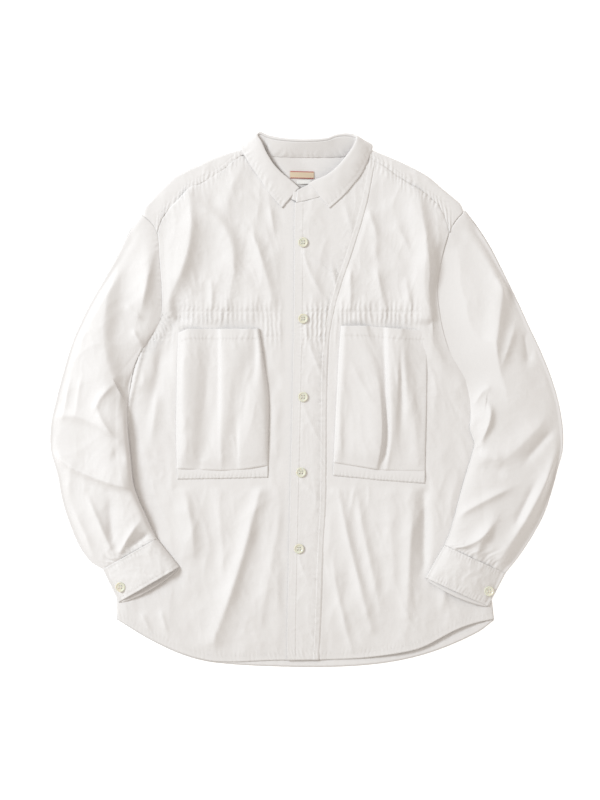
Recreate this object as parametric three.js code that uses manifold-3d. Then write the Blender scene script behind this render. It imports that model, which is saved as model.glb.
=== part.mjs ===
// Anorak shirt laid flat on its back. Millimetres: X across, Y towards the collar, Z up from the table.
import * as THREE from 'three';
import Module from 'manifold-3d';

// Cloth and seams
const clothWall = 1.3;
const backWall = 1.2;
const facedWall = 1.6;
const seamGap = 0.3;

// How high the laid cloth stands: the fronts over the back, the armhole seams, and near a fold or hem
const bodyLoft = 7.4;
const armholeLift = 5;
const foldShare = 0.35;
const hemShare = 0.74;
const sideRun = 50;
const shoulderRun = 22;

// Heights of the seams that cross the body
const backYokeSeam = 250;
const upperGatherSeam = 132;
const lowerGatherSeam = 94;

// Shirring between the two gather seams
const gatherPitch = 7.4;
const gatherHeight = 1.7;
const gatherFade = 34;
const tightShare = 0.3;

// Rows of points in a panel are at least this far apart
const leastRow = 3;

// Hem level at the side seams and at the centre front
const sideHem = -328;
const centreHem = -388;

// Front closure: the under front stops here, the flap lies over it
const underFrontEdge = 4.5;
const underFrontTop = 292;
const flapBlendEnd = 36;
const flapTopLeft = { x: -17, y: 295 };
const flapSeamTop = 356;
const flapClearance = 0.2;

// Buttons
const buttonRadius = 7.5;
const buttonHeight = 2.6;
const buttonHole = 1.1;
const frontButtons = [
  { name: 'button_1', x: -4.5, y: 235.5 },
  { name: 'button_2', x: -4.5, y: 121.5 },
  { name: 'button_3', x: -4.5, y: 4.5 },
  { name: 'button_4', x: -7.5, y: -108 },
  { name: 'button_5', x: -10.5, y: -222 },
];

// Neck label and size tab, on the inside of the back yoke
const neckLabel = { name: 'neck_label', x: -6, y: 337, width: 36, depth: 11, wall: 0.9 };
const sizeTab = { name: 'size_tab', x: -3, y: 326, width: 21, depth: 6, wall: 0.7 };

const shirtWhite = 0xf3f1ee;
const buttonCream = 0xe4e1c8;
const labelCream = 0xe8dcc0;

// Sides and armholes of the body: where its left and right edges lie at each height
const bodyEdges = [
  { y: -330, left: -284, right: 282 },
  { y: -240, left: -284, right: 272 },
  { y: -150, left: -283, right: 263 },
  { y: -75, left: -283, right: 259 },
  { y: -30, left: -283.5, right: 255 },
  { y: 8, left: -283, right: 249 },
  { y: 28, left: -281, right: 242 },
  { y: 42, left: -276, right: 234 },
  { y: 60, left: -262, right: 222 },
  { y: 72, left: -252, right: 215 },
  { y: 96, left: -231, right: 207 },
  { y: 123, left: -217, right: 201 },
  { y: 165, left: -216, right: 197 },
  { y: 207, left: -219, right: 203 },
  { y: 250, left: -223, right: 215 },
  { y: 267, left: -234, right: 224 },
  { y: 285, left: -257, right: 240 },
];

// Heights where every piece that meets a side or armhole seam has a point
const seamHeights = [
  60, 72, 84, 94, 103, 112.5, 122, 132, 144, 156, 172, 190, 210, 230, 250,
];
const skirtHeights = [-300, -262, -224, -186, -148, -110, -72, -34, 0, 20, 42];

const frontHem = [
  { x: -284, y: -328 },
  { x: -257, y: -344 },
  { x: -233, y: -358 },
  { x: -182, y: -381 },
  { x: -134, y: -392 },
  { x: -47, y: -390 },
  { x: 36, y: -389 },
  { x: 89, y: -386 },
  { x: 150, y: -377 },
  { x: 177, y: -369 },
  { x: 225, y: -344 },
  { x: 254, y: -334 },
  { x: 282, y: -328 },
];

const backHem = [
  { x: -284, y: -329 },
  { x: -233, y: -360 },
  { x: -182, y: -383 },
  { x: -134, y: -394 },
  { x: -24, y: -400 },
  { x: 66, y: -399 },
  { x: 137, y: -391 },
  { x: 197, y: -375 },
  { x: 258, y: -348 },
  { x: 282, y: -330 },
];

// Yoke sections from the neck to the sleeve: back seam, shoulder fold and front seam
const yokeLeft = [
  { backX: -97, foldX: -97, foldY: 375, seamX: -97.5, seamY: 366 },
  { backX: -130, foldX: -130, foldY: 366, seamX: -131, seamY: 339 },
  { backX: -160, foldX: -165, foldY: 351, seamX: -156, seamY: 325 },
  { backX: -188, foldX: -195, foldY: 336, seamX: -175, seamY: 316 },
  { backX: -205, foldX: -215, foldY: 318, seamX: -192, seamY: 297 },
  { backX: -214, foldX: -232, foldY: 300, seamX: -205, seamY: 285 },
  { backX: -219, foldX: -243, foldY: 288, seamX: -216, seamY: 270 },
  { backX: -223, foldX: -244.5, foldY: 276, seamX: -223, seamY: 250 },
];
const yokeRight = [
  { backX: 93, foldX: 93, foldY: 376, seamX: 94, seamY: 363 },
  { backX: 118, foldX: 118, foldY: 367, seamX: 115, seamY: 349 },
  { backX: 148, foldX: 150, foldY: 353, seamX: 133, seamY: 336 },
  { backX: 175, foldX: 180, foldY: 337, seamX: 157, seamY: 320 },
  { backX: 194, foldX: 203, foldY: 318, seamX: 183, seamY: 305 },
  { backX: 205, foldX: 220, foldY: 304, seamX: 198, seamY: 291 },
  { backX: 211, foldX: 231, foldY: 294, seamX: 208, seamY: 272 },
  { backX: 215, foldX: 236.5, foldY: 282, seamX: 215, seamY: 250 },
];

// Edges of the flap that buttons over the front: its free edge and its slanting seam
const flapEdges = [
  { y: -388, free: -28.5, seam: 20 },
  { y: -330, free: -28, seam: 22.5 },
  { y: -240, free: -26, seam: 25.5 },
  { y: -150, free: -24, seam: 30 },
  { y: 0, free: -20.5, seam: 31.5 },
  { y: 60, free: -19.5, seam: 33 },
  { y: 98, free: -18.5, seam: 36 },
  { y: 140, free: -18, seam: 44.5 },
  { y: 174, free: -17.5, seam: 54 },
  { y: 224, free: -17.5, seam: 71 },
  { y: 291, free: -17, seam: 91 },
  { y: 356, free: -17, seam: 104 },
];

// Collar sections from the left front corner round the back to the right one: the neck seam, the fold
// and the leaf's edge. behind is 1 where the leaf falls behind the neck and 0 where it lies on the front.
const collarSections = [
  { seamX: -7.5, seamY: 294, foldX: -9, foldY: 315, foldZ: 16, edgeX: -36, edgeY: 287, behind: 0 },
  { seamX: -24, seamY: 301, foldX: -24, foldY: 328, foldZ: 18, edgeX: -46.5, edgeY: 299, behind: 0 },
  { seamX: -40.5, seamY: 311, foldX: -37.5, foldY: 339, foldZ: 20, edgeX: -57, edgeY: 312, behind: 0 },
  { seamX: -55.5, seamY: 323, foldX: -49.5, foldY: 352, foldZ: 22, edgeX: -69, edgeY: 330, behind: 0 },
  { seamX: -69, seamY: 340, foldX: -60, foldY: 369, foldZ: 23, edgeX: -82, edgeY: 349, behind: 0 },
  { seamX: -81, seamY: 356, foldX: -67, foldY: 384, foldZ: 22, edgeX: -91, edgeY: 364, behind: 0 },
  { seamX: -88, seamY: 368, foldX: -73, foldY: 394, foldZ: 20, edgeX: -98, edgeY: 380, behind: 0.3 },
  { seamX: -76, seamY: 366, foldX: -68, foldY: 397, foldZ: 18, edgeX: -84, edgeY: 386, behind: 1 },
  { seamX: -57, seamY: 364, foldX: -56, foldY: 392, foldZ: 18, edgeX: -63, edgeY: 377, behind: 1 },
  { seamX: -34.5, seamY: 363, foldX: -35, foldY: 388, foldZ: 19, edgeX: -36, edgeY: 372, behind: 1 },
  { seamX: -1.5, seamY: 363, foldX: -2, foldY: 386, foldZ: 20, edgeX: -2, edgeY: 370, behind: 1 },
  { seamX: 30, seamY: 363, foldX: 29.5, foldY: 388, foldZ: 19, edgeX: 31, edgeY: 372, behind: 1 },
  { seamX: 48, seamY: 363.5, foldX: 44, foldY: 393, foldZ: 18, edgeX: 48, edgeY: 375, behind: 1 },
  { seamX: 62, seamY: 364.5, foldX: 58, foldY: 395, foldZ: 18, edgeX: 66, edgeY: 380, behind: 1 },
  { seamX: 76, seamY: 367, foldX: 71, foldY: 393, foldZ: 18, edgeX: 84, edgeY: 386, behind: 1 },
  { seamX: 86, seamY: 369, foldX: 76, foldY: 389, foldZ: 20, edgeX: 99, edgeY: 381, behind: 0.3 },
  { seamX: 82.5, seamY: 356, foldX: 70, foldY: 376, foldZ: 22, edgeX: 94, edgeY: 363, behind: 0 },
  { seamX: 72, seamY: 339, foldX: 58.5, foldY: 360, foldZ: 23, edgeX: 84, edgeY: 340, behind: 0 },
  { seamX: 57, seamY: 324, foldX: 45, foldY: 345, foldZ: 22, edgeX: 72, edgeY: 324, behind: 0 },
  { seamX: 40.5, seamY: 313, foldX: 30, foldY: 334, foldZ: 20, edgeX: 58.5, edgeY: 308, behind: 0 },
  { seamX: 22.5, seamY: 304, foldX: 15, foldY: 328, foldZ: 18, edgeX: 45, edgeY: 295, behind: 0 },
  { seamX: 4.5, seamY: 299, foldX: 3, foldY: 322, foldZ: 16, edgeX: 35, edgeY: 286.5, behind: 0 },
];

// Sleeve sections from the armhole to the cuff. bow is the share of the armhole's curve left in a
// section, over is how far it lies on the body, height is the tube's.
const sleeveLeft = [
  { outerX: -249, outerY: 279, innerX: -252, innerY: 72, bow: 1, over: 0, height: 9 },
  { outerX: -267, outerY: 249, innerX: -264, innerY: 60, bow: 0.82, over: 0, height: 10 },
  { outerX: -283, outerY: 216, innerX: -275, innerY: 47, bow: 0.58, over: 0, height: 11 },
  { outerX: -301, outerY: 184, innerX: -284, innerY: 35, bow: 0.36, over: 0, height: 12 },
  { outerX: -319, outerY: 153, innerX: -287, innerY: 23, bow: 0.18, over: 0.2, height: 12 },
  { outerX: -336, outerY: 120, innerX: -287, innerY: 10, bow: 0.06, over: 0.7, height: 12 },
  { outerX: -351, outerY: 85, innerX: -285.5, innerY: -3, bow: 0, over: 1, height: 12 },
  { outerX: -364, outerY: 42, innerX: -277, innerY: -21, bow: 0, over: 1, height: 12 },
  { outerX: -375, outerY: 0, innerX: -270, innerY: -45, bow: 0, over: 1, height: 12 },
  { outerX: -383, outerY: -39, innerX: -264, innerY: -65, bow: 0, over: 1, height: 12 },
  { outerX: -383, outerY: -75, innerX: -261, innerY: -94, bow: 0, over: 1, height: 12 },
  { outerX: -373, outerY: -111, innerX: -258, innerY: -123, bow: 0, over: 1, height: 12 },
  { outerX: -366, outerY: -148, innerX: -250, innerY: -148, bow: 0, over: 1, height: 11.5 },
  { outerX: -355, outerY: -184, innerX: -240, innerY: -170, bow: 0, over: 1, height: 11 },
  { outerX: -340, outerY: -219, innerX: -232, innerY: -188, bow: 0, over: 1, height: 10.5 },
  { outerX: -323, outerY: -242, innerX: -227, innerY: -198, bow: 0, over: 1, height: 10 },
  { outerX: -305, outerY: -253, innerX: -223, innerY: -206, bow: 0, over: 1, height: 9.5 },
];
const sleeveRight = [
  { outerX: 239, outerY: 284, innerX: 222, innerY: 60, bow: 1, over: 0, height: 9 },
  { outerX: 258, outerY: 258, innerX: 233, innerY: 47, bow: 0.84, over: 0, height: 10 },
  { outerX: 276, outerY: 230, innerX: 243, innerY: 33, bow: 0.62, over: 0, height: 11 },
  { outerX: 291, outerY: 201, innerX: 249.5, innerY: 18, bow: 0.4, over: 0.2, height: 12 },
  { outerX: 306, outerY: 171, innerX: 253, innerY: 4, bow: 0.22, over: 0.5, height: 12 },
  { outerX: 321, outerY: 140, innerX: 252, innerY: -12, bow: 0.08, over: 1, height: 12 },
  { outerX: 336, outerY: 107, innerX: 248, innerY: -27, bow: 0, over: 1, height: 12 },
  { outerX: 353, outerY: 71, innerX: 246, innerY: -42, bow: 0, over: 1, height: 12 },
  { outerX: 368, outerY: 33, innerX: 249, innerY: -56, bow: 0, over: 1, height: 12 },
  { outerX: 379, outerY: -5, innerX: 252, innerY: -66, bow: 0, over: 1, height: 12 },
  { outerX: 385, outerY: -42, innerX: 249, innerY: -78, bow: 0, over: 1, height: 12 },
  { outerX: 385, outerY: -74, innerX: 243, innerY: -98, bow: 0, over: 1, height: 12 },
  { outerX: 378, outerY: -102, innerX: 236, innerY: -121, bow: 0, over: 1, height: 12 },
  { outerX: 369, outerY: -135, innerX: 228, innerY: -150, bow: 0, over: 1, height: 11.5 },
  { outerX: 357, outerY: -171, innerX: 221, innerY: -177, bow: 0, over: 1, height: 11 },
  { outerX: 338, outerY: -206, innerX: 215, innerY: -197, bow: 0, over: 1, height: 10.5 },
  { outerX: 318, outerY: -236, innerX: 210, innerY: -209, bow: 0, over: 1, height: 10 },
  { outerX: 299, outerY: -259, innerX: 207, innerY: -216, bow: 0, over: 1, height: 9.5 },
];

// Cuffs: corners at the sleeve seam and at the mouth, the lower layer's reach past the upper, the button
const cuffs = [
  {
    name: 'cuff_left',
    button: 'cuff_button_left',
    seam: { outerX: -305, outerY: -253, innerX: -223, innerY: -206 },
    mouth: { outerX: -280.5, outerY: -303, innerX: -189, innerY: -249 },
    buttonAlong: 0.66,
    buttonAcross: 0.13,
    lip: 0,
  },
  {
    name: 'cuff_right',
    button: 'cuff_button_right',
    seam: { outerX: 299, outerY: -259, innerX: 207, innerY: -216 },
    mouth: { outerX: 273, outerY: -309, innerX: 178.5, innerY: -265.5 },
    buttonAlong: 0.62,
    buttonAcross: 0.1,
    lip: 4,
  },
];
const cuffHeight = 11;

// Bellows pockets: sides at each height, then the bag's top and bottom edges and the gusset's lower edge
const pocketStand = 7.4;
const pocketBevel = 1.6;
const pleatStep = 1.5;
const pockets = [
  {
    name: 'pocket_left',
    gusset: 'pocket_gusset_left',
    sides: [
      { y: -125, left: -192, right: -57 },
      { y: -60, left: -194.5, right: -56 },
      { y: 7, left: -194, right: -55.5 },
      { y: 60, left: -193, right: -63 },
      { y: 110, left: -191, right: -70.5 },
    ],
    top: [{ x: -200, y: 98 }, { x: -176, y: 106.5 }, { x: -50, y: 106.5 }],
    bottom: [{ x: -200, y: -103 }, { x: -120, y: -106 }, { x: -85, y: -103 }, { x: -50, y: -97 }],
    hem: [{ x: -200, y: -119 }, { x: -50, y: -116 }],
    pleats: [{ x: -127.5, rise: 1 }, { x: -88, rise: -1 }],
  },
  {
    name: 'pocket_right',
    gusset: 'pocket_gusset_right',
    sides: [
      { y: -125, left: 40, right: 178 },
      { y: -60, left: 42, right: 179 },
      { y: 0, left: 45, right: 180.5 },
      { y: 60, left: 48, right: 181 },
      { y: 115, left: 52, right: 181.5 },
    ],
    top: [{ x: 40, y: 111 }, { x: 92, y: 111 }, { x: 133, y: 107 }, { x: 190, y: 104 }],
    bottom: [{ x: 30, y: -92 }, { x: 110, y: -105 }, { x: 190, y: -107 }],
    hem: [{ x: 30, y: -112 }, { x: 110, y: -120 }, { x: 190, y: -126 }],
    pleats: [{ x: 95, rise: 1 }, { x: 119, rise: -1 }],
  },
];

// Largest folds of the fronts: a curved ridge, or a trough where height is negative
const frontFolds = [
  { fromX: -192, fromY: 320, bendX: -181, bendY: 262, toX: -216, toY: 140, width: 13, height: 3.2 },
  { fromX: -174, fromY: 306, bendX: -120, bendY: 262, toX: -106, toY: 170, width: 12, height: -2.6 },
  { fromX: -84, fromY: 262, bendX: -57, bendY: 212, toX: -42, toY: 160, width: 11, height: -2.4 },
  { fromX: -94, fromY: 246, bendX: -88, bendY: 200, toX: -80, toY: 160, width: 10, height: 2.4 },
  { fromX: -72, fromY: -120, bendX: -104, bendY: -232, toX: -141, toY: -354, width: 15, height: 3 },
  { fromX: -56, fromY: -150, bendX: -82, bendY: -250, toX: -112, toY: -330, width: 12, height: -2 },
  { fromX: -177, fromY: -138, bendX: -158, bendY: -190, toX: -138, toY: -270, width: 12, height: -2.2 },
  { fromX: 150, fromY: 294, bendX: 178, bendY: 210, toX: 178, toY: 140, width: 12, height: 3 },
  { fromX: 132, fromY: 270, bendX: 158, bendY: 225, toX: 120, toY: 150, width: 11, height: -2.2 },
  { fromX: 96, fromY: 258, bendX: 78, bendY: 200, toX: 70, toY: 160, width: 11, height: 2.2 },
  { fromX: 45, fromY: -150, bendX: 74, bendY: -252, toX: 93, toY: -366, width: 14, height: 2.6 },
  { fromX: 66, fromY: -120, bendX: 84, bendY: -210, toX: 100, toY: -300, width: 12, height: -2 },
  { fromX: 156, fromY: -178, bendX: 152, bendY: -250, toX: 146, toY: -330, width: 12, height: 2.6 },
  { fromX: 178, fromY: -130, bendX: 176, bendY: -200, toX: 178, toY: -270, width: 11, height: -2.2 },
];

// Largest folds of the sleeves' upper layer
const sleeveFolds = [
  { fromX: -270, fromY: 230, bendX: -300, bendY: 110, toX: -284, toY: 42, width: 13, height: -3.6 },
  { fromX: -224, fromY: 236, bendX: -246, bendY: 200, toX: -262, toY: 160, width: 11, height: 2.6 },
  { fromX: -336, fromY: 90, bendX: -318, bendY: 40, toX: -284, toY: -50, width: 15, height: 2.6 },
  { fromX: -380, fromY: -36, bendX: -330, bendY: -42, toX: -278, toY: -66, width: 12, height: -3 },
  { fromX: -381, fromY: -84, bendX: -330, bendY: -118, toX: -262, toY: -132, width: 11, height: -3.6 },
  { fromX: -330, fromY: -138, bendX: -312, bendY: -190, toX: -290, toY: -232, width: 12, height: 2.6 },
  { fromX: -290, fromY: -136, bendX: -282, bendY: -180, toX: -268, toY: -204, width: 11, height: -2.6 },
  { fromX: 236, fromY: 262, bendX: 282, bendY: 176, toX: 272, toY: 10, width: 16, height: 3.4 },
  { fromX: 300, fromY: 168, bendX: 318, bendY: 110, toX: 330, toY: 40, width: 14, height: -2.8 },
  { fromX: 362, fromY: -24, bendX: 330, bendY: -60, toX: 296, toY: -92, width: 12, height: 3 },
  { fromX: 374, fromY: -40, bendX: 340, bendY: -78, toX: 300, toY: -110, width: 11, height: -3 },
  { fromX: 378, fromY: -70, bendX: 350, bendY: -150, toX: 284, toY: -236, width: 14, height: 3.2 },
  { fromX: 220, fromY: -180, bendX: 264, bendY: -172, toX: 312, toY: -130, width: 11, height: -2.4 },
];

const { clamp, lerp, smoothstep } = THREE.MathUtils;

// Straight-line and smooth functions of one column through a table's rows
function pickSpan(rows, given, position) {
  const last = rows.length - 1;
  let index = 0;
  while (index < last - 1 && rows[index + 1][given] < position) {
    index += 1;
  }
  return index;
}

function straight(rows, given, wanted) {
  return (position) => {
    const index = pickSpan(rows, given, position);
    const start = rows[index];
    const end = rows[index + 1];
    const share = clamp((position - start[given]) / (end[given] - start[given]), 0, 1);
    return lerp(start[wanted], end[wanted], share);
  };
}

function smooth(rows, given, wanted) {
  return (position) => {
    const index = pickSpan(rows, given, position);
    const [before, start, end, after] = [-1, 0, 1, 2].map(
      (step) => rows[clamp(index + step, 0, rows.length - 1)],
    );
    const run = end[given] - start[given];
    const share = clamp((position - start[given]) / run, 0, 1);
    const leave = (run * (end[wanted] - before[wanted])) / (end[given] - before[given]);
    const arrive = (run * (after[wanted] - start[wanted])) / (after[given] - start[given]);
    const square = share * share;
    const cube = square * share;
    return (
      start[wanted] * (2 * cube - 3 * square + 1) +
      leave * (cube - 2 * square + share) +
      end[wanted] * (3 * square - 2 * cube) +
      arrive * (cube - square)
    );
  };
}

const bodyLeft = smooth(bodyEdges, 'y', 'left');
const bodyRight = smooth(bodyEdges, 'y', 'right');
const flapFree = smooth(flapEdges, 'y', 'free');
const flapSeam = smooth(flapEdges, 'y', 'seam');
const frontHemAt = smooth(frontHem, 'x', 'y');
const backHemAt = smooth(backHem, 'x', 'y');

// The shoulder folds and, between them, the level of the neck points
const shoulderRows = [...yokeLeft].reverse().concat(yokeRight);
const shoulderAt = straight(shoulderRows, 'foldX', 'foldY');

// Upper edge of the fronts: the yoke's front seam, then the neck seam as far as the centre
const neckLeft = collarSections.slice(0, 6);
const neckRight = collarSections.slice(-6);
const leftTop = [...yokeLeft].reverse().map((row) => ({ x: row.seamX, y: row.seamY }));
leftTop.push(...[...neckLeft].reverse().map((row) => ({ x: row.seamX, y: row.seamY })));
leftTop.push({ x: underFrontEdge, y: underFrontTop });
const rightTop = [flapTopLeft];
rightTop.push(...[...neckRight].reverse().map((row) => ({ x: row.seamX, y: row.seamY })));
rightTop.push(...yokeRight.map((row) => ({ x: row.seamX, y: row.seamY })));
const leftTopAt = straight(leftTop, 'x', 'y');
const rightTopAt = straight(rightTop, 'x', 'y');

// Height of a soft ridge or trough at a point
function foldHeight(fold, x, y) {
  let nearest = Infinity;
  let place = 0;
  const steps = 12;
  for (let step = 0; step <= steps; step += 1) {
    const share = step / steps;
    const rest = 1 - share;
    const pathX = rest * rest * fold.fromX + 2 * rest * share * fold.bendX + share * share * fold.toX;
    const pathY = rest * rest * fold.fromY + 2 * rest * share * fold.bendY + share * share * fold.toY;
    const distance = Math.hypot(x - pathX, y - pathY);
    if (distance < nearest) {
      nearest = distance;
      place = share;
    }
  }
  const fade = Math.sin(Math.PI * lerp(0.08, 0.92, place));
  return fold.height * fade * Math.exp(-((nearest / fold.width) ** 2));
}

function allFolds(folds, x, y) {
  return folds.reduce((total, fold) => total + foldHeight(fold, x, y), 0);
}

// Underside of the fronts without folds: on the table at the side seams, higher in the middle
function frontRest(x, y) {
  const inward = Math.max(Math.min(x - bodyLeft(y), bodyRight(y) - x), 0);
  const edge = armholeLift * smoothstep(y, 60, 160);
  const middle = bodyLoft * lerp(hemShare, 1, smoothstep(y, -390, -270));
  const puff = 1 - Math.exp(-inward / sideRun);
  const below = Math.max(shoulderAt(x) - y, 0);
  const shoulder = lerp(foldShare, 1, 1 - Math.exp(-below / shoulderRun));
  return backWall + seamGap + lerp(edge, middle, puff) * shoulder;
}

function restTop(x, y) {
  return frontRest(x, y) + clothWall;
}

// Shares of full fold height that keep cloth flat under a pocket, a sleeve or the flap, and at an edge
function clearOfPockets(x, y) {
  return pockets.reduce((share, pocket) => {
    const left = smooth(pocket.sides, 'y', 'left')(y);
    const right = smooth(pocket.sides, 'y', 'right')(y);
    const outside = Math.max(left - x, x - right, -130 - y, y - 112);
    return Math.min(share, smoothstep(outside, 4, 16));
  }, 1);
}

function sleeveReach(sections, side, y) {
  const inner = sections.slice(6).concat(
    cuffs.filter((cuff) => Math.sign(cuff.mouth.innerX) === side).map((cuff) => cuff.mouth),
  );
  const rows = [...inner].reverse();
  return straight(rows, 'innerY', 'innerX')(y);
}

function clearOfSleeves(x, y) {
  if (y > 10) {
    return 1;
  }
  const left = x - sleeveReach(sleeveLeft, -1, y);
  const right = sleeveReach(sleeveRight, 1, y) - x;
  return smoothstep(Math.min(left, right), 8, 26);
}

function foldShareAt(x, y) {
  const inward = Math.min(x - bodyLeft(y), bodyRight(y) - x);
  const edges = smoothstep(inward, 2, 18);
  return Math.min(clearOfPockets(x, y), clearOfSleeves(x, y), edges);
}

// Shirring: small pleats of uneven height that are tight at the seams and fade above and below them
function gatherEnvelope(y) {
  if (y > upperGatherSeam) {
    return smoothstep(upperGatherSeam + gatherFade - y, 0, gatherFade);
  }
  if (y < lowerGatherSeam) {
    return smoothstep(y - lowerGatherSeam + gatherFade, 0, gatherFade);
  }
  return 1;
}

function gatherAt(index, y) {
  const uneven = 0.7 + 0.3 * Math.sin(index * 2.4);
  const crest = index % 2 === 1 ? 1 : 0;
  return gatherHeight * uneven * crest * gatherEnvelope(y);
}

// A wall: matching outer and inner points, triangles between rows, and a rim round every free edge
class Wall {
  constructor() {
    this.outer = [];
    this.inner = [];
    this.faces = [];
  }

  point(outer, inner) {
    this.outer.push(outer);
    this.inner.push(inner);
    return this.outer.length - 1;
  }

  // Joins two rows of { index, share }, which may have different numbers of points
  join(first, second) {
    let a = 0;
    let b = 0;
    while (a < first.length - 1 || b < second.length - 1) {
      const nextA = a < first.length - 1 ? first[a + 1].share : Infinity;
      const nextB = b < second.length - 1 ? second[b + 1].share : Infinity;
      if (nextA <= nextB) {
        this.faces.push([first[a].index, first[a + 1].index, second[b].index]);
        a += 1;
      } else {
        this.faces.push([first[a].index, second[b + 1].index, second[b].index]);
        b += 1;
      }
    }
  }

  geometry() {
    const count = this.outer.length;
    const used = new Map();
    this.faces.forEach(([a, b, c]) => {
      [[a, b], [b, c], [c, a]].forEach(([from, to]) => used.set(`${from},${to}`, [from, to]));
    });
    const triangles = [];
    this.faces.forEach(([a, b, c]) => {
      triangles.push(a, b, c);
      triangles.push(a + count, c + count, b + count);
    });
    used.forEach(([from, to]) => {
      if (!used.has(`${to},${from}`)) {
        triangles.push(to, from, from + count);
        triangles.push(to, from + count, to + count);
      }
    });
    const points = this.outer.concat(this.inner);
    const geometry = new THREE.BufferGeometry().setFromPoints(points);
    geometry.setIndex(signedVolume(points, triangles) < 0 ? triangles.reverse() : triangles);
    geometry.computeVertexNormals();
    return geometry;
  }
}

function signedVolume(points, triangles) {
  let volume = 0;
  for (let index = 0; index < triangles.length; index += 3) {
    const [a, b, c] = [0, 1, 2].map((step) => points[triangles[index + step]]);
    volume += a.dot(new THREE.Vector3().crossVectors(b, c));
  }
  return volume;
}

function clothMesh(name, wall, color = shirtWhite) {
  const material = new THREE.MeshStandardMaterial({ color, roughness: 0.85, metalness: 0 });
  const mesh = new THREE.Mesh(wall.geometry(), material);
  mesh.name = name;
  return mesh;
}

// A point on a patch between four edge curves, each a function of its own share
function patchPoint(edges, across, up) {
  const [bottom, top] = [edges.bottom(across), edges.top(across)];
  const [left, right] = [edges.left(up), edges.right(up)];
  const corners = [edges.bottom(0), edges.bottom(1), edges.top(0), edges.top(1)];
  const blend = (axis) =>
    lerp(bottom[axis], top[axis], up) +
    lerp(left[axis], right[axis], across) -
    lerp(
      lerp(corners[0][axis], corners[1][axis], across),
      lerp(corners[2][axis], corners[3][axis], across),
      up,
    );
  return { x: blend('x'), y: blend('y') };
}

function evenShares(count) {
  return Array.from({ length: count + 1 }, (_, index) => index / count);
}

// A front panel in three bands: skirt, shirring and chest. Its side edge has a point at each seam height.
function frontPanel(shape) {
  const { left, right, bottomAt, topAt, topLeft, topRight, coarse, topShares } = shape;
  const isLeft = shape.side === 'left';
  const width = right(lowerGatherSeam) - left(lowerGatherSeam);
  const fine = evenShares(2 * Math.max(Math.round(width / gatherPitch), 1));
  const sideX = isLeft ? left : right;
  const otherX = isLeft ? right : left;
  const sideTop = isLeft ? topLeft.y : topRight.y;
  const otherTop = isLeft ? topRight.y : topLeft.y;
  const hemStart = left(isLeft ? sideHem : centreHem);
  const hemEnd = right(isLeft ? centreHem : sideHem);
  const hem = (share) => {
    const x = lerp(hemStart, hemEnd, share);
    return { x, y: bottomAt(x) };
  };
  const top = (share) => {
    const x = lerp(topLeft.x, topRight.x, share);
    return { x, y: topAt(x) };
  };
  const level = (y) => (share) => ({ x: lerp(left(y), right(y), share), y });
  const edge = (edgeX, low, high) => (up) => {
    const y = lerp(low, high, up);
    return { x: edgeX(y), y };
  };
  const bands = [
    {
      bottom: hem,
      top: level(lowerGatherSeam),
      side: [bottomAt(sideX(sideHem)), lowerGatherSeam],
      other: [bottomAt(otherX(centreHem)), lowerGatherSeam],
      shares: coarse,
    },
    {
      bottom: level(lowerGatherSeam),
      top: level(upperGatherSeam),
      side: [lowerGatherSeam, upperGatherSeam],
      other: [lowerGatherSeam, upperGatherSeam],
      shares: fine,
    },
    {
      bottom: level(upperGatherSeam),
      top,
      side: [upperGatherSeam, sideTop],
      other: [upperGatherSeam, otherTop],
      shares: topShares,
    },
  ];
  const wall = new Wall();
  let previous = null;
  bands.forEach((band, number) => {
    const [low, high] = band.side;
    const side = edge(sideX, ...band.side);
    const other = edge(otherX, ...band.other);
    const edges = {
      bottom: band.bottom,
      top: band.top,
      left: isLeft ? side : other,
      right: isLeft ? other : side,
    };
    const between = sideHeights.filter((y) => y > low + leastRow && y < high - leastRow);
    const heights = number === 0 ? [low, ...between, high] : [...between, high];
    heights.forEach((y) => {
      const up = (y - low) / (high - low);
      const tight = gatherEnvelope(y) > tightShare;
      const shares = tight ? fine : band.shares;
      const row = shares.map((share, index) => {
        const place = patchPoint(edges, share, up);
        const gather = tight ? gatherAt(index, y) * shape.gatherShare(place.x, place.y) : 0;
        const z = shape.restAt(place.x, place.y) + shape.foldAt(place.x, place.y) + gather;
        const outer = new THREE.Vector3(place.x, place.y, z + clothWall);
        const inner = new THREE.Vector3(place.x, place.y, z);
        return { index: wall.point(outer, inner), share };
      });
      if (previous) {
        wall.join(previous, row);
      }
      previous = row;
    });
  });
  return wall;
}

const sideHeights = [...skirtHeights, ...seamHeights];

// Shares across the chest that put a point on every corner of the yoke and neck seams
function sharesThrough(corners, start, end) {
  const inside = corners.map(({ x }) => (x - start) / (end - start));
  return [0, ...inside.filter((share) => share > 0.01 && share < 0.99), 1];
}

function underFlap(x) {
  return 1 - smoothstep(x, -44, -30);
}

function frontLeft() {
  const topLeft = { x: -223, y: backYokeSeam };
  const topRight = { x: underFrontEdge, y: underFrontTop };
  return frontPanel({
    side: 'left',
    left: bodyLeft,
    right: () => underFrontEdge,
    bottomAt: frontHemAt,
    topAt: (x) => leftTopAt(x) - seamGap,
    topLeft,
    topRight,
    coarse: evenShares(15),
    topShares: sharesThrough(leftTop, topLeft.x, topRight.x),
    restAt: frontRest,
    foldAt: (x, y) => allFolds(frontFolds, x, y) * foldShareAt(x, y) * underFlap(x),
    gatherShare: (x) => underFlap(x) * smoothstep(x - bodyLeft(110), 12, 36),
  });
}

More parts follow.
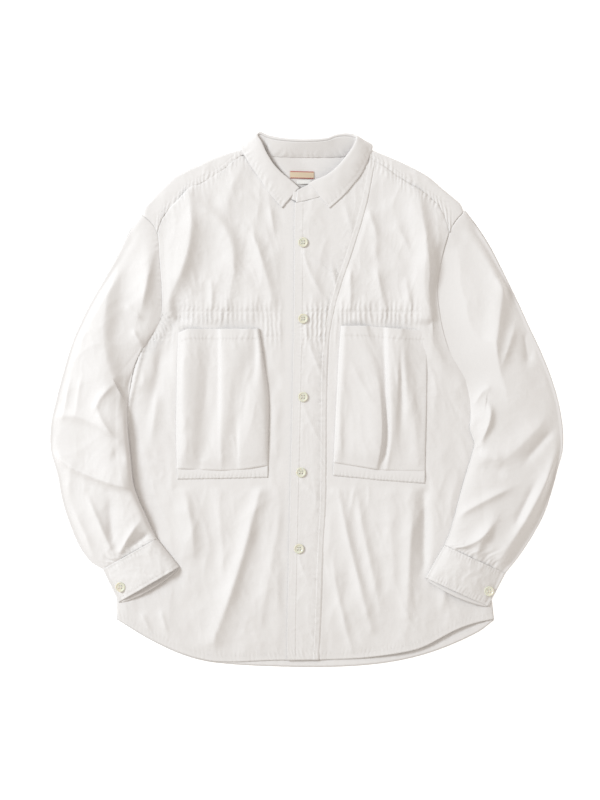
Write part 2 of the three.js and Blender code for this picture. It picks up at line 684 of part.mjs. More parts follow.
function frontRight() {
  const seam = (y) => flapSeam(y) + seamGap;
  const topLeft = { x: seam(flapSeamTop), y: flapSeamTop };
  const topRight = { x: 215, y: backYokeSeam };
  return frontPanel({
    side: 'right',
    left: seam,
    right: bodyRight,
    bottomAt: frontHemAt,
    topAt: (x) => rightTopAt(x) - seamGap,
    topLeft,
    topRight,
    coarse: evenShares(13),
    topShares: sharesThrough(rightTop, topLeft.x, topRight.x),
    restAt: frontRest,
    foldAt: (x, y) => allFolds(frontFolds, x, y) * foldShareAt(x, y) * smoothstep(x - seam(y), 1, 10),
    gatherShare: (x) => smoothstep(bodyRight(110) - x, 26, 44) * smoothstep(x - seam(110), 1, 8),
  });
}

// How far the flap lies above the under front, down to the fronts' own level at its seam
function flapLift(x) {
  return (clothWall + seamGap + flapClearance) * (1 - smoothstep(x, underFrontEdge + 4, flapBlendEnd));
}

function flapRest(x, y) {
  return frontRest(x, y) + flapLift(x);
}

function frontFlap() {
  const topRight = { x: flapSeam(flapSeamTop), y: flapSeamTop };
  const topLeft = flapTopLeft;
  return frontPanel({
    side: 'right',
    left: flapFree,
    right: flapSeam,
    bottomAt: frontHemAt,
    topAt: (x) => rightTopAt(x) - seamGap,
    topLeft,
    topRight,
    coarse: evenShares(5),
    topShares: sharesThrough(rightTop, topLeft.x, topRight.x),
    restAt: flapRest,
    foldAt: (x, y) => Math.max(allFolds(frontFolds, x, y), 0) * smoothstep(flapSeam(y) - x, 1, 10),
    gatherShare: (x, y) => smoothstep(flapSeam(y) - x, 1, 8),
  });
}

// The back lies on the table, so it is flat on both faces
function backBody() {
  const wall = new Wall();
  let previous = null;
  [sideHem, ...sideHeights].forEach((level) => {
    const atHem = level === sideHem;
    const row = evenShares(atHem ? 16 : 3).map((share) => {
      const last = level === backYokeSeam ? seamGap / 2 : 0;
      const x = lerp(bodyLeft(level), bodyRight(level), share);
      const height = atHem ? backHemAt(x) : level - last;
      const outer = new THREE.Vector3(x, height, backWall);
      const inner = new THREE.Vector3(x, height, 0);
      return { index: wall.point(outer, inner), share };
    });
    if (previous) {
      wall.join(previous, row);
    }
    previous = row;
  });
  return wall;
}

// A yoke section: along the back, round the shoulder fold and over the front to its seam
function yokeSection(row, atArmhole) {
  const outer = [];
  const inner = [];
  const edgeX = row.foldX < 0 ? bodyLeft : bodyRight;
  const away = new THREE.Vector2(row.foldX - row.seamX, row.foldY - row.seamY).normalize();
  const backStart = backYokeSeam + seamGap / 2;
  const turn = 3.4;
  const nearX = row.foldX - away.x * turn;
  const nearY = row.foldY - away.y * turn;
  const place = (fromX, fromY, toX, toY, share) => {
    const y = lerp(fromY, toY, share);
    const seamX = edgeX(y) - Math.sign(row.foldX) * 2 * seamGap * smoothstep(y, 252, 266);
    return { x: atArmhole ? seamX : lerp(fromX, toX, share), y };
  };
  [0, 0.4, 0.75, 1].forEach((share) => {
    const { x, y } = place(row.backX, backStart, nearX, nearY, share);
    outer.push(new THREE.Vector3(x, y, 0));
    inner.push(new THREE.Vector3(x, y, backWall));
  });
  const crest = restTop(nearX, nearY);
  const middle = crest / 2;
  [-45, 0, 45].forEach((degrees) => {
    const angle = THREE.MathUtils.degToRad(degrees);
    const bulge = (radius) => new THREE.Vector3(
      nearX + away.x * turn * Math.cos(angle) * (radius / middle),
      nearY + away.y * turn * Math.cos(angle) * (radius / middle),
      middle + radius * Math.sin(angle),
    );
    outer.push(bulge(middle));
    inner.push(bulge(middle - backWall));
  });
  [0, 0.5, 1].forEach((share) => {
    const { x, y } = place(nearX, nearY, row.seamX, row.seamY, share);
    outer.push(new THREE.Vector3(x, y, restTop(x, y)));
    inner.push(new THREE.Vector3(x, y, frontRest(x, y)));
  });
  return { outer, inner };
}

// The yoke's neck edge, just inside the collar's seam
function yokeNeckSection(row) {
  const outer = [];
  const inner = [];
  const neckEdge = row.seamY - 1.4;
  [0, 0.4, 0.75, 1].forEach((share) => {
    const y = lerp(backYokeSeam + seamGap / 2, neckEdge, share);
    outer.push(new THREE.Vector3(row.seamX, y, 0));
    inner.push(new THREE.Vector3(row.seamX, y, backWall));
  });
  return { outer, inner };
}

function yoke() {
  const wall = new Wall();
  const leftWing = [...yokeLeft].reverse().map((row, index) => yokeSection(row, index === 0));
  const neck = collarSections.slice(7, 15).map(yokeNeckSection);
  const rightWing = yokeRight.map((row, index) => yokeSection(row, index === yokeRight.length - 1));
  const sections = [...leftWing, ...neck, ...rightWing];
  let previous = null;
  sections.forEach((section) => {
    const column = section.outer.map((outer, index) => ({
      index: wall.point(outer, section.inner[index]),
      share: index,
    }));
    if (previous) {
      const shared = Math.min(previous.length, column.length);
      wall.join(previous.slice(0, shared), column.slice(0, shared));
    }
    previous = column;
  });
  return wall;
}

// What the sleeves and cuffs rest on: the table, or the body's front where they lie over it
function sleeveRest(x, y, over) {
  const inward = Math.min(x - bodyLeft(y), bodyRight(y) - x);
  const approach = smoothstep(inward, -36, -16) * over;
  const body = restTop(x, y) + 2 * seamGap;
  return approach * body;
}

function tubeProfile(across) {
  return (1 - Math.abs(2 * across - 1) ** 2.6) ** 0.6;
}

// One ring of a laid tube: upper points from the outer fold to the inner fold, then back underneath
function tubeRing(wall, ring) {
  const { planAt, upper, lower, height, thick } = ring;
  const width = Math.hypot(
    planAt(1).x - planAt(0).x,
    planAt(1).y - planAt(0).y,
  );
  const inset = thick / width;
  const points = [];
  upper.forEach((across) => {
    const atFold = across === 0 || across === 1;
    const outside = planAt(across);
    const inside = planAt(lerp(inset, 1 - inset, across));
    const rest = sleeveRest(outside.x, outside.y, 1);
    const nose = rest + thick + 0.1;
    const crest = Math.max(rest + height * tubeProfile(across), rest + 2 * thick + seamGap);
    const top = atFold ? nose : crest;
    const innerRest = sleeveRest(inside.x, inside.y, 1);
    const under = atFold ? innerRest + thick + 0.1 : top - thick;
    points.push(wall.point(
      new THREE.Vector3(outside.x, outside.y, top),
      new THREE.Vector3(inside.x, inside.y, under),
    ));
  });
  [...lower].reverse().forEach((across) => {
    const outside = planAt(across);
    const inside = planAt(lerp(inset, 1 - inset, across));
    points.push(wall.point(
      new THREE.Vector3(outside.x, outside.y, sleeveRest(outside.x, outside.y, 1)),
      new THREE.Vector3(inside.x, inside.y, sleeveRest(inside.x, inside.y, 1) + thick),
    ));
  });
  const loop = points.map((index, place) => ({ index, share: place }));
  loop.push({ index: points[0], share: points.length });
  return loop;
}

// A sleeve in two walls that meet at its folds: the upper face and the one that it lies on
function sleeveWalls(sections, side) {
  const edgeX = side < 0 ? bodyLeft : bodyRight;
  const [first] = sections;
  const ring = [...seamHeights, 267].filter((y) => y > first.innerY && y < first.outerY);
  const toShare = (y) => (first.outerY - y) / (first.outerY - first.innerY);
  const shares = [0, ...ring.map(toShare).reverse(), 1];
  const bowAt = (across) => {
    const y = lerp(first.outerY, first.innerY, across);
    const edge = edgeX(y) + side * seamGap;
    return edge - lerp(first.outerX, first.innerX, across);
  };
  const upper = new Wall();
  const under = new Wall();
  let previous = null;
  sections.forEach((row) => {
    const rows = { upper: [], under: [] };
    shares.forEach((across) => {
      const x = lerp(row.outerX, row.innerX, across) + row.bow * bowAt(across);
      const y = lerp(row.outerY, row.innerY, across);
      const rest = sleeveRest(x, y, row.over);
      const lowest = rest + clothWall + seamGap;
      const inward = smoothstep(Math.min(across, 1 - across), 0.02, 0.14);
      const rise = allFolds(sleeveFolds, x, y) * inward * (1 - row.bow * 0.9);
      const crest = rest + row.height * tubeProfile(across) + rise - clothWall;
      const lower = Math.max(crest, lowest);
      rows.upper.push({
        index: upper.point(new THREE.Vector3(x, y, lower + clothWall), new THREE.Vector3(x, y, lower)),
        share: across,
      });
      rows.under.push({
        index: under.point(new THREE.Vector3(x, y, rest + clothWall), new THREE.Vector3(x, y, rest)),
        share: across,
      });
    });
    if (previous) {
      upper.join(previous.upper, rows.upper);
      under.join(previous.under, rows.under);
    }
    previous = rows;
  });
  return { upper, under };
}

function cuffPlan(cuff, along, across) {
  const outerX = lerp(cuff.seam.outerX, cuff.mouth.outerX, along);
  const outerY = lerp(cuff.seam.outerY, cuff.mouth.outerY, along);
  const innerX = lerp(cuff.seam.innerX, cuff.mouth.innerX, along);
  const innerY = lerp(cuff.seam.innerY, cuff.mouth.innerY, along);
  return { x: lerp(outerX, innerX, across), y: lerp(outerY, innerY, across) };
}

function cuff(shape) {
  const wall = new Wall();
  const length = Math.hypot(
    shape.mouth.outerX - shape.seam.outerX,
    shape.mouth.outerY - shape.seam.outerY,
  );
  const upper = [0, 0.04, 0.12, 0.24, 0.38, 0.5, 0.62, 0.76, 0.88, 0.96, 1];
  const lower = [0.06, 0.28, 0.5, 0.72, 0.94];
  const gap = (1.5 * seamGap) / length;
  let previous = null;
  [gap, 0.35, 0.7, 1].forEach((along) => {
    const planAt = (across) => cuffPlan(shape, along, across);
    const loop = tubeRing(wall, { planAt, upper, lower, height: cuffHeight, thick: facedWall });
    if (previous) {
      wall.join(previous, loop);
    }
    previous = loop;
  });
  return wall;
}

// Collar stand and leaf: a section's points run along a curve, and the wall follows the surface's normal
function thickSurface(grid, thick) {
  const wall = new Wall();
  const rows = grid.map((line, i) => line.map((point, j) => {
    const alongA = grid[Math.max(i - 1, 0)][j];
    const alongB = grid[Math.min(i + 1, grid.length - 1)][j];
    const acrossA = line[Math.max(j - 1, 0)];
    const acrossB = line[Math.min(j + 1, line.length - 1)];
    const along = new THREE.Vector3().subVectors(alongB, alongA);
    const across = new THREE.Vector3().subVectors(acrossB, acrossA);
    const normal = new THREE.Vector3().crossVectors(along, across).normalize();
    const half = normal.multiplyScalar(thick / 2);
    const outer = point.clone().add(half);
    const inner = point.clone().sub(half);
    const sink = Math.max(-Math.min(outer.z, inner.z), 0);
    outer.z += sink;
    inner.z += sink;
    return { index: wall.point(outer, inner), share: j };
  }));
  rows.slice(1).forEach((row, index) => wall.join(rows[index], row));
  return wall;
}

function collarSeamPoint(row) {
  const lap = row.seamX > -20 ? flapLift(row.seamX) : 0;
  const onFront = restTop(row.seamX, row.seamY) + lap + seamGap + facedWall * 0.6;
  const onBack = facedWall / 2;
  return new THREE.Vector3(row.seamX, row.seamY, lerp(onFront, onBack, row.behind));
}

function collarFoldPoint(row) {
  return new THREE.Vector3(row.foldX, row.foldY, row.foldZ);
}

function collarStand() {
  const grid = collarSections.map((row) => {
    const seam = collarSeamPoint(row);
    const fold = collarFoldPoint(row);
    const length = seam.distanceTo(fold);
    const end = 1 - (7 * seamGap) / length;
    return [0, 0.35, 0.7, end].map((share) => seam.clone().lerp(fold, share));
  });
  return thickSurface(grid, facedWall);
}

function collarLeaf() {
  const crest = 6;
  const roll = 3;
  const grid = collarSections.map((row) => {
    const seam = collarSeamPoint(row);
    const fold = collarFoldPoint(row);
    const rising = fold.clone().sub(seam).normalize().multiplyScalar(crest);
    rising.z += roll;
    const lapRest = restTop(row.edgeX, row.edgeY) + flapLift(row.edgeX) * (row.edgeX > -60 ? 1 : 0);
    const onFront = lapRest + seamGap + facedWall * 0.8;
    const edgeZ = lerp(onFront, facedWall / 2, row.behind);
    const edge = new THREE.Vector3(row.edgeX, row.edgeY, edgeZ);
    const frontTurn = edge.clone().lerp(fold, 0.45);
    frontTurn.z = row.foldZ + 2;
    const backTurn = new THREE.Vector3(row.foldX, row.foldY + 8, -4);
    const turn = frontTurn.lerp(backTurn, row.behind);
    const curve = new THREE.CubicBezierCurve3(fold, fold.clone().add(rising), turn, edge);
    return curve.getPoints(8).map((point) => {
      point.z = Math.max(point.z, facedWall / 2);
      return point;
    });
  });
  return thickSurface(grid, facedWall);
}

// Where a share across and up a pocket lies on the shirt
function pocketPlace(pocket, across, up) {
  const leftAt = smooth(pocket.sides, 'y', 'left');
  const rightAt = smooth(pocket.sides, 'y', 'right');
  const topAt = straight(pocket.top, 'x', 'y');
  const bottomAt = straight(pocket.bottom, 'x', 'y');
  const level = lerp(pocket.bottom[1].y, pocket.top[1].y, up);
  const guess = lerp(leftAt(level), rightAt(level), across);
  const y = lerp(bottomAt(guess), topAt(guess), up);
  return { x: lerp(leftAt(y), rightAt(y), across), y };
}

function pocketShares(pocket) {
  const { x: start } = pocketPlace(pocket, 0, 0.5);
  const { x: end } = pocketPlace(pocket, 1, 0.5);
  const bevel = pocketBevel / (end - start);
  const plain = [0, bevel, 0.1, 0.2, 0.34, 0.6, 0.8, 0.92, 1 - bevel, 1];
  const edges = pocket.pleats.flatMap((pleat) => [pleat.x - 1.2, pleat.x + 1.2]);
  return plain.concat(edges.map((x) => (x - start) / (end - start))).sort((a, b) => a - b);
}

// A pocket bag: side and bottom walls stand on the front, its top edge is open
function pocketBag(pocket) {
  const wall = new Wall();
  const shares = pocketShares(pocket);
  const rows = [0, 0.008, 0.08, 0.2, 0.35, 0.5, 0.65, 0.8, 0.92, 1];
  let previous = null;
  rows.forEach((up, number) => {
    const row = shares.map((across, column) => {
      const { x, y } = pocketPlace(pocket, across, up);
      const foot = number === 0 || column === 0 || column === shares.length - 1;
      const pushX = column < 2 ? clothWall : column > shares.length - 3 ? -clothWall : 0;
      const pushY = number < 2 ? clothWall : 0;
      const floor = restTop(x, y) + seamGap + 0.1 + gatherHeight * gatherEnvelope(y);
      const pleat = pocket.pleats.reduce(
        (sum, { x: edge, rise }) => sum + (x > edge ? pleatStep * rise : 0),
        0,
      );
      const stand = restTop(x, y) + pocketStand + clothWall + pleat;
      const outer = new THREE.Vector3(x, y, foot ? floor : stand);
      const inner = new THREE.Vector3(x + pushX, y + pushY, foot ? floor : stand - clothWall);
      return { index: wall.point(outer, inner), share: across };
    });
    if (previous) {
      wall.join(previous, row);
    }
    previous = row;
  });
  return wall;
}

// The gusset's strip that shows below the bag, flat on the front
function pocketGusset(pocket) {
  const wall = new Wall();
  const hemAt = straight(pocket.hem, 'x', 'y');
  let previous = null;
  [0, 1].forEach((up) => {
    const row = pocketShares(pocket).map((share) => {
      const { x, y: bottom } = pocketPlace(pocket, share, 0);
      const y = lerp(hemAt(x), bottom - seamGap, up);
      const z = restTop(x, y) + seamGap;
      const outer = new THREE.Vector3(x, y, z + clothWall);
      return { index: wall.point(outer, new THREE.Vector3(x, y, z)), share };
    });
    if (previous) {
      wall.join(previous, row);
    }
    previous = row;
  });
  return wall;
}

// A small flat piece of tape on the inside of the yoke
function tape(shape) {
  const wall = new Wall();
  let previous = null;
  [-0.5, 0.5].forEach((up) => {
    const row = evenShares(4).map((share) => {
      const x = shape.x + shape.width * (share - 0.5);
      const y = shape.y + shape.depth * up;
      const z = backWall + seamGap;
      const outer = new THREE.Vector3(x, y, z + shape.wall);
      return { index: wall.point(outer, new THREE.Vector3(x, y, z)), share };
    });
    if (previous) {
      wall.join(previous, row);
    }
    previous = row;
  });
  return wall;
}

// A four-hole button with a raised rim, its underside at its own origin
const wasm = await Module();
wasm.setup();

function toManifold(geometry) {
  const position = geometry.getAttribute('position');
  return new wasm.Manifold(new wasm.Mesh({
    numProp: 3,
    vertProperties: Float32Array.from(position.array),
    triVerts: Uint32Array.from(geometry.index.array),
  }));
}

function turnedPiece(profile, sides) {
  const points = [];
  const triangles = [];
  profile.forEach(([radius, z]) => {
    const count = radius === 0 ? 1 : sides;
    for (let side = 0; side < count; side += 1) {
      const angle = (2 * Math.PI * side) / sides;
      points.push(new THREE.Vector3(radius * Math.cos(angle), radius * Math.sin(angle), z));
    }
  });
  const start = (ring) => (ring === 0 ? 0 : 1 + (ring - 1) * sides);
  const lastRing = profile.length - 1;
  for (let side = 0; side < sides; side += 1) {
    const next = (side + 1) % sides;
    triangles.push(0, start(1) + next, start(1) + side);
    for (let ring = 1; ring < lastRing - 1; ring += 1) {
      const [low, high] = [start(ring), start(ring + 1)];
      triangles.push(low + side, low + next, high + next);
      triangles.push(low + side, high + next, high + side);
    }
    triangles.push(start(lastRing - 1) + side, start(lastRing - 1) + next, start(lastRing));
  }
  const geometry = new THREE.BufferGeometry().setFromPoints(points);
  geometry.setIndex(triangles);
  return geometry;
}

function buttonGeometry() {
  const disc = toManifold(turnedPiece([
    [0, 0],
    [buttonRadius - 1.2, 0],
    [buttonRadius, 1.1],
    [buttonRadius - 0.5, buttonHeight],
    [buttonRadius - 1.8, buttonHeight - 0.1],
    [buttonRadius - 2.8, buttonHeight - 0.9],
    [0, buttonHeight - 0.9],
  ], 14));
  const hole = turnedPiece([[0, -1], [buttonHole, -1], [buttonHole, 4], [0, 4]], 6);
  const spread = 1.75;
  let body = disc;
  [[1, 1], [-1, 1], [-1, -1], [1, -1]].forEach(([right, up]) => {
    const moved = hole.clone().translate(right * spread, up * spread, 0);
    body = body.subtract(toManifold(moved));
  });
  const mesh = body.getMesh();
  const geometry = new THREE.BufferGeometry();
  geometry.setAttribute('position', new THREE.BufferAttribute(mesh.vertProperties, 3));
  geometry.setIndex(Array.from(mesh.triVerts));
  geometry.computeVertexNormals();
  return geometry;
}

const buttonShape = buttonGeometry();

function button(name, x, y, z) {
  const material = new THREE.MeshStandardMaterial({ color: buttonCream, roughness: 0.4 });
  const mesh = new THREE.Mesh(buttonShape, material);
  mesh.name = name;
  mesh.position.set(x, y, z);
  return mesh;
}

const shirt = new THREE.Group();
shirt.add(clothMesh('back', backBody()));
shirt.add(clothMesh('yoke', yoke()));
shirt.add(clothMesh('front_left', frontLeft()));
shirt.add(clothMesh('front_right', frontRight()));
shirt.add(clothMesh('front_flap', frontFlap()));
[['left', sleeveLeft, -1], ['right', sleeveRight, 1]].forEach(([hand, sections, side]) => {
  const walls = sleeveWalls(sections, side);
  shirt.add(clothMesh(`sleeve_${hand}`, walls.upper));
  shirt.add(clothMesh(`sleeve_${hand}_under`, walls.under));
});
shirt.add(clothMesh('collar_stand', collarStand()));
shirt.add(clothMesh('collar_leaf', collarLeaf()));
shirt.add(clothMesh(neckLabel.name, tape(neckLabel), labelCream));
shirt.add(clothMesh(sizeTab.name, tape(sizeTab)));
pockets.forEach((pocket) => {
  shirt.add(clothMesh(pocket.name, pocketBag(pocket)));
  shirt.add(clothMesh(pocket.gusset, pocketGusset(pocket)));
});
cuffs.forEach((shape) => {
  shirt.add(clothMesh(shape.name, cuff(shape)));
  const { x, y } = cuffPlan(shape, shape.buttonAlong, shape.buttonAcross);
  const top = sleeveRest(x, y, 1) + cuffHeight * tubeProfile(shape.buttonAcross + 0.08);
  shirt.add(button(shape.button, x, y, top + seamGap));
});
frontButtons.forEach(({ name, x, y }) => {
  const crest = Math.max(...[-1, 0, 1].map((step) => flapRest(x, y + step * buttonRadius)));
  const gathered = gatherHeight * gatherEnvelope(y);
  shirt.add(button(name, x, y, crest + clothWall + gathered + seamGap));
});

export default shirt;
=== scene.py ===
import bpy
import numpy as np
from mathutils.bvhtree import BVHTree
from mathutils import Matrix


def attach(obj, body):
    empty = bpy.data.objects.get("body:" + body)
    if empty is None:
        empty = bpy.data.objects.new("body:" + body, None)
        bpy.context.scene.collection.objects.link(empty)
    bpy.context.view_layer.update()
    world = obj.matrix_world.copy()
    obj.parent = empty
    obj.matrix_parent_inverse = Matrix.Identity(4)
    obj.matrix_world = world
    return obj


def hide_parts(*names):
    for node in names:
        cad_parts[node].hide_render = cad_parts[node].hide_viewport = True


# An anorak shirt of white washed cotton, laid flat on its back and seen from above. Sizes are in
# millimetres, X across, Y towards the collar, Z up from the table, and meshes are made in metres.
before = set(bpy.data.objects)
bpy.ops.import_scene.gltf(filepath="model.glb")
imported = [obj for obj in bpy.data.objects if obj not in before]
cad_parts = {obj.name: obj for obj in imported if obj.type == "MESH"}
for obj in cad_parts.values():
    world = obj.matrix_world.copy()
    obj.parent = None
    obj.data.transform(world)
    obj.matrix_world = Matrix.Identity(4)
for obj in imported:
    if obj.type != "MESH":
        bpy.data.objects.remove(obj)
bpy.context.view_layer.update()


# A white table top under the shirt. A large soft lamp at the upper left gives the folds their
# light and shade, the pale room fills the shadows, and the camera looks straight down.
TABLE_REACH = 6.0
TABLE_DROP = 0.0004

table_mesh = bpy.data.meshes.new("table_top")
table_mesh.from_pydata(
    [(x * TABLE_REACH, y * TABLE_REACH, -TABLE_DROP) for x, y in ((-1, -1), (1, -1), (1, 1), (-1, 1))],
    [],
    [(0, 1, 2, 3)],
)
table_top = bpy.data.objects.new("table_top", table_mesh)
bpy.context.collection.objects.link(table_top)


def set_inputs(tree, node, inputs):
    """Gives a node's inputs their values, or links them to the outputs that are named."""
    for name, value in inputs.items():
        if isinstance(value, bpy.types.NodeSocket):
            tree.links.new(value, node.inputs[name])
        else:
            node.inputs[name].default_value = value


def add_node(tree, kind, inputs, **settings):
    node = tree.nodes.new(kind)
    for name, value in settings.items():
        setattr(node, name, value)
    set_inputs(tree, node, inputs)
    return node


def new_material(name, **finish):
    """A material with its surface's finish, and its tree."""
    material = bpy.data.materials.new(name)
    material.use_nodes = True
    surface = {key.replace("_", " ").title().replace("Ior", "IOR"): value for key, value in finish.items()}
    set_inputs(material.node_tree, material.node_tree.nodes["Principled BSDF"], surface)
    return material, material.node_tree


def colour_from(material, socket):
    tree = material.node_tree
    tree.links.new(socket, tree.nodes["Principled BSDF"].inputs["Base Color"])


white = (1, 1, 1, 1)
table_paint, _ = new_material(
    "table_white",
    base_color=(0.93, 0.93, 0.93, 1),
    roughness=0.9,
    emission_color=white,
    emission_strength=0.5,
)
table_mesh.materials.append(table_paint)

KEY_PLACE = (-4.2, 2.2, 3.9)
KEY_SIZE = 2.0
KEY_POWER = 255
key_data = bpy.data.lights.new("window_light", "AREA")
key_data.shape = "DISK"
key_data.size = KEY_SIZE
key_data.energy = KEY_POWER
key_data.color = (0.852, 0.933, 1.0)
key = bpy.data.objects.new("window_light", key_data)
key.location = KEY_PLACE
bpy.context.collection.objects.link(key)
aim = bpy.data.objects.new("lamp_aim", None)
bpy.context.collection.objects.link(aim)
track = key.constraints.new("TRACK_TO")
track.target = aim
track.track_axis = "TRACK_NEGATIVE_Z"
track.up_axis = "UP_Y"

room = bpy.data.worlds.new("pale_room")
bpy.context.scene.world = room
room.use_nodes = True
room.node_tree.nodes["Background"].inputs["Color"].default_value = (1.0, 0.942, 0.872, 1)
room.node_tree.nodes["Background"].inputs["Strength"].default_value = 0.72

LENS = 85
FRAME_HEIGHT = 1.2
SENSOR = 0.036
camera_data = bpy.data.cameras.new("camera")
camera_data.lens = LENS
camera_data.sensor_width = SENSOR * 1000
camera = bpy.data.objects.new("camera", camera_data)
camera.location = (-0.009, 0.0, LENS * FRAME_HEIGHT / (SENSOR * 1000))
bpy.context.collection.objects.link(camera)
scene = bpy.context.scene
scene.camera = camera
scene.view_settings.view_transform = "Standard"
scene.view_settings.look = "None"


# The back panel: one layer of washed poplin that lies on the table under the rest, cut with a curved
# shirt tail. It shows beyond the front hem at the lower right. Like most of the other pieces, it is sewn
# with rows of running stitches in white thread, which are made here and used on each of them.
WALL = 0.7
BACK_WALL = 0.9
HEM_DEPTH = 9.5
YARN_PITCH = 0.42
SEAM_GAP = 0.3
BACK_YOKE_SEAM = 250
SIDE_HEM = -328
CENTRE_HEM = -388


def soft_step(value, low, high):
    share = np.clip((value - low) / (high - low), 0, 1)
    return share * share * (3 - 2 * share)


def mix(start, end, share):
    return start + (end - start) * share


def through(stations, values):
    """A smooth curve through a few measured places."""
    xs, ys = np.array(stations, float), np.array(values, float)
    before = np.maximum(np.arange(len(xs)) - 1, 0)
    after = np.minimum(np.arange(len(xs)) + 1, len(xs) - 1)
    slope = (ys[after] - ys[before]) / (xs[after] - xs[before])

    def at(place):
        place = np.clip(place, xs[0], xs[-1])
        i = np.clip(np.searchsorted(xs, place) - 1, 0, len(xs) - 2)
        run = xs[i + 1] - xs[i]
        q = (place - xs[i]) / run
        return (
            ys[i] * (2 * q**3 - 3 * q**2 + 1)
            + slope[i] * run * (q**3 - 2 * q**2 + q)
            + ys[i + 1] * (3 * q**2 - 2 * q**3)
            + slope[i + 1] * run * (q**3 - q**2)
        )

    return at


# Height, left edge and right edge of the body at the sides and armholes
BODY_EDGES = [
    (-330, -284, 282),
    (-240, -284, 272),
    (-150, -283, 263),
    (-75, -283, 259),
    (-30, -283.5, 255),
    (8, -283, 249),
    (28, -281, 242),
    (42, -276, 234),
    (60, -262, 222),
    (72, -252, 215),
    (96, -231, 207),
    (123, -217, 201),
    (165, -216, 197),
    (207, -219, 203),
    (250, -223, 215),
    (267, -234, 224),
    (285, -257, 240),
]
edge_heights, left_places, right_places = zip(*BODY_EDGES)
body_left = through(edge_heights, left_places)
body_right = through(edge_heights, right_places)

BACK_HEM = [
    (-284, -329),
    (-233, -360),
    (-182, -383),
    (-134, -394),
    (-24, -400),
    (66, -399),
    (137, -391),
    (197, -375),
    (258, -348),
    (282, -330),
]
back_hem_at = through(*zip(*BACK_HEM))

lattice = np.random.default_rng(11)
turns = lattice.uniform(0, 2 * np.pi, 4096)
shuffle = np.concatenate([lattice.permutation(4096)] * 2)


def ripple_noise(x, y, seed=0):
    """Smooth noise from about -0.7 to 0.7, one bump in each unit square."""
    ix, iy = np.floor(x).astype(int), np.floor(y).astype(int)
    fx, fy = x - ix, y - iy
    corner = []
    for dx, dy in ((0, 0), (1, 0), (0, 1), (1, 1)):
        angle = turns[shuffle[shuffle[(ix + dx + seed * 57) % 4096] + (iy + dy + seed * 131) % 4096]]
        corner.append(np.cos(angle) * (fx - dx) + np.sin(angle) * (fy - dy))
    sx = fx**3 * (fx * (fx * 6 - 15) + 10)
    sy = fy**3 * (fy * (fy * 6 - 15) + 10)
    return mix(mix(corner[0], corner[1], sx), mix(corner[2], corner[3], sx), sy)


def creases(x, y, size, seed, lean=0.0, stretch=1.0):
    """Soft creases of washed cotton, from 0 to 1: narrow ridges that bend and fork."""
    cos, sin = np.cos(lean), np.sin(lean)
    u, v = (x * cos + y * sin) / size, (y * cos - x * sin) / (size * stretch)
    u = u + 0.7 * ripple_noise(u * 0.6, v * 0.6, seed + 5)
    v = v + 0.7 * ripple_noise(u * 0.6, v * 0.6, seed + 9)
    ridge = 1 - np.clip(np.abs(ripple_noise(u, v, seed)) / 0.42, 0, 1)
    return ridge**1.6


def washed(x, y, seed, lean=0.0, stretch=1.6, amount=1.0):
    """Height of the small wrinkles that washing leaves, in three sizes."""
    patch = 0.55 + 0.9 * np.clip(ripple_noise(x / 60, y / 60, seed + 21) + 0.25, 0, 1)
    return amount * patch * (
        0.95 * creases(x, y, 34, seed, lean, stretch)
        + 0.5 * creases(x, y, 15, seed + 1, lean + 0.5, stretch)
        + 0.2 * creases(x, y, 7, seed + 2, lean - 0.4, 1.2)
    )


def cotton_cloth(name, colour, yarn=YARN_PITCH, crinkle=1.0):
    """Plain-woven cotton: warp and weft in the bump, slubs, fine crinkles and an uneven white.
    Its patterns run in millimetres along the cloth."""
    cloth, tree = new_material(
        name, roughness=0.82, sheen_weight=0.18, sheen_roughness=0.45, specular_ior_level=0.28
    )
    uv = add_node(tree, "ShaderNodeUVMap", {}, uv_map="cloth").outputs["UV"]
    grain = add_node(tree, "ShaderNodeMapping", {"Vector": uv, "Scale": (1000, 1000, 1000)}).outputs["Vector"]
    yarn = {"Vector": grain, "Scale": 2 * np.pi / (20 * yarn), "Distortion": 0.6, "Detail Scale": 0.3}
    warp = add_node(tree, "ShaderNodeTexWave", yarn, bands_direction="X").outputs["Fac"]
    weft = add_node(tree, "ShaderNodeTexWave", yarn, bands_direction="Y").outputs["Fac"]
    weave = add_node(tree, "ShaderNodeMath", {0: warp, 1: weft}, operation="MULTIPLY").outputs["Value"]
    slub = add_node(tree, "ShaderNodeTexNoise", {"Vector": grain, "Scale": 0.9, "Detail": 3}).outputs["Fac"]
    crush = {"Vector": grain, "Scale": 0.16, "Detail": 2.5, "Distortion": 0.5}
    crush = add_node(tree, "ShaderNodeTexNoise", crush, noise_type="RIDGED_MULTIFRACTAL").outputs["Fac"]
    raised = {}
    for height, strength, depth in ((weave, 0.35, 0.08), (slub, 0.5, 0.12), (crush, 0.42 * crinkle, 0.35)):
        bump = {"Height": height, "Strength": strength, "Distance": depth / 1000, **raised}
        raised = {"Normal": add_node(tree, "ShaderNodeBump", bump).outputs["Normal"]}
    set_inputs(tree, tree.nodes["Principled BSDF"], raised)
    cloud = add_node(tree, "ShaderNodeTexNoise", {"Vector": grain, "Scale": 0.02, "Detail": 4}).outputs["Fac"]
    shaded = (*[part * 0.965 for part in colour], 1)
    tint = {"Factor": cloud, "A": shaded, "B": (*colour, 1)}
    colour_from(cloth, add_node(tree, "ShaderNodeMix", tint, data_type="RGBA").outputs["Result"])
    return cloth


white_cotton = cotton_cloth("white_washed_cotton", (0.7745, 0.753, 0.7445))


def lengths_along(points):
    """Distances along the rows of a grid, averaged over the grid, for the cloth's grain."""
    steps = np.linalg.norm(np.diff(points, axis=1), axis=2).mean(axis=0)
    return np.concatenate([[0], np.cumsum(steps)])


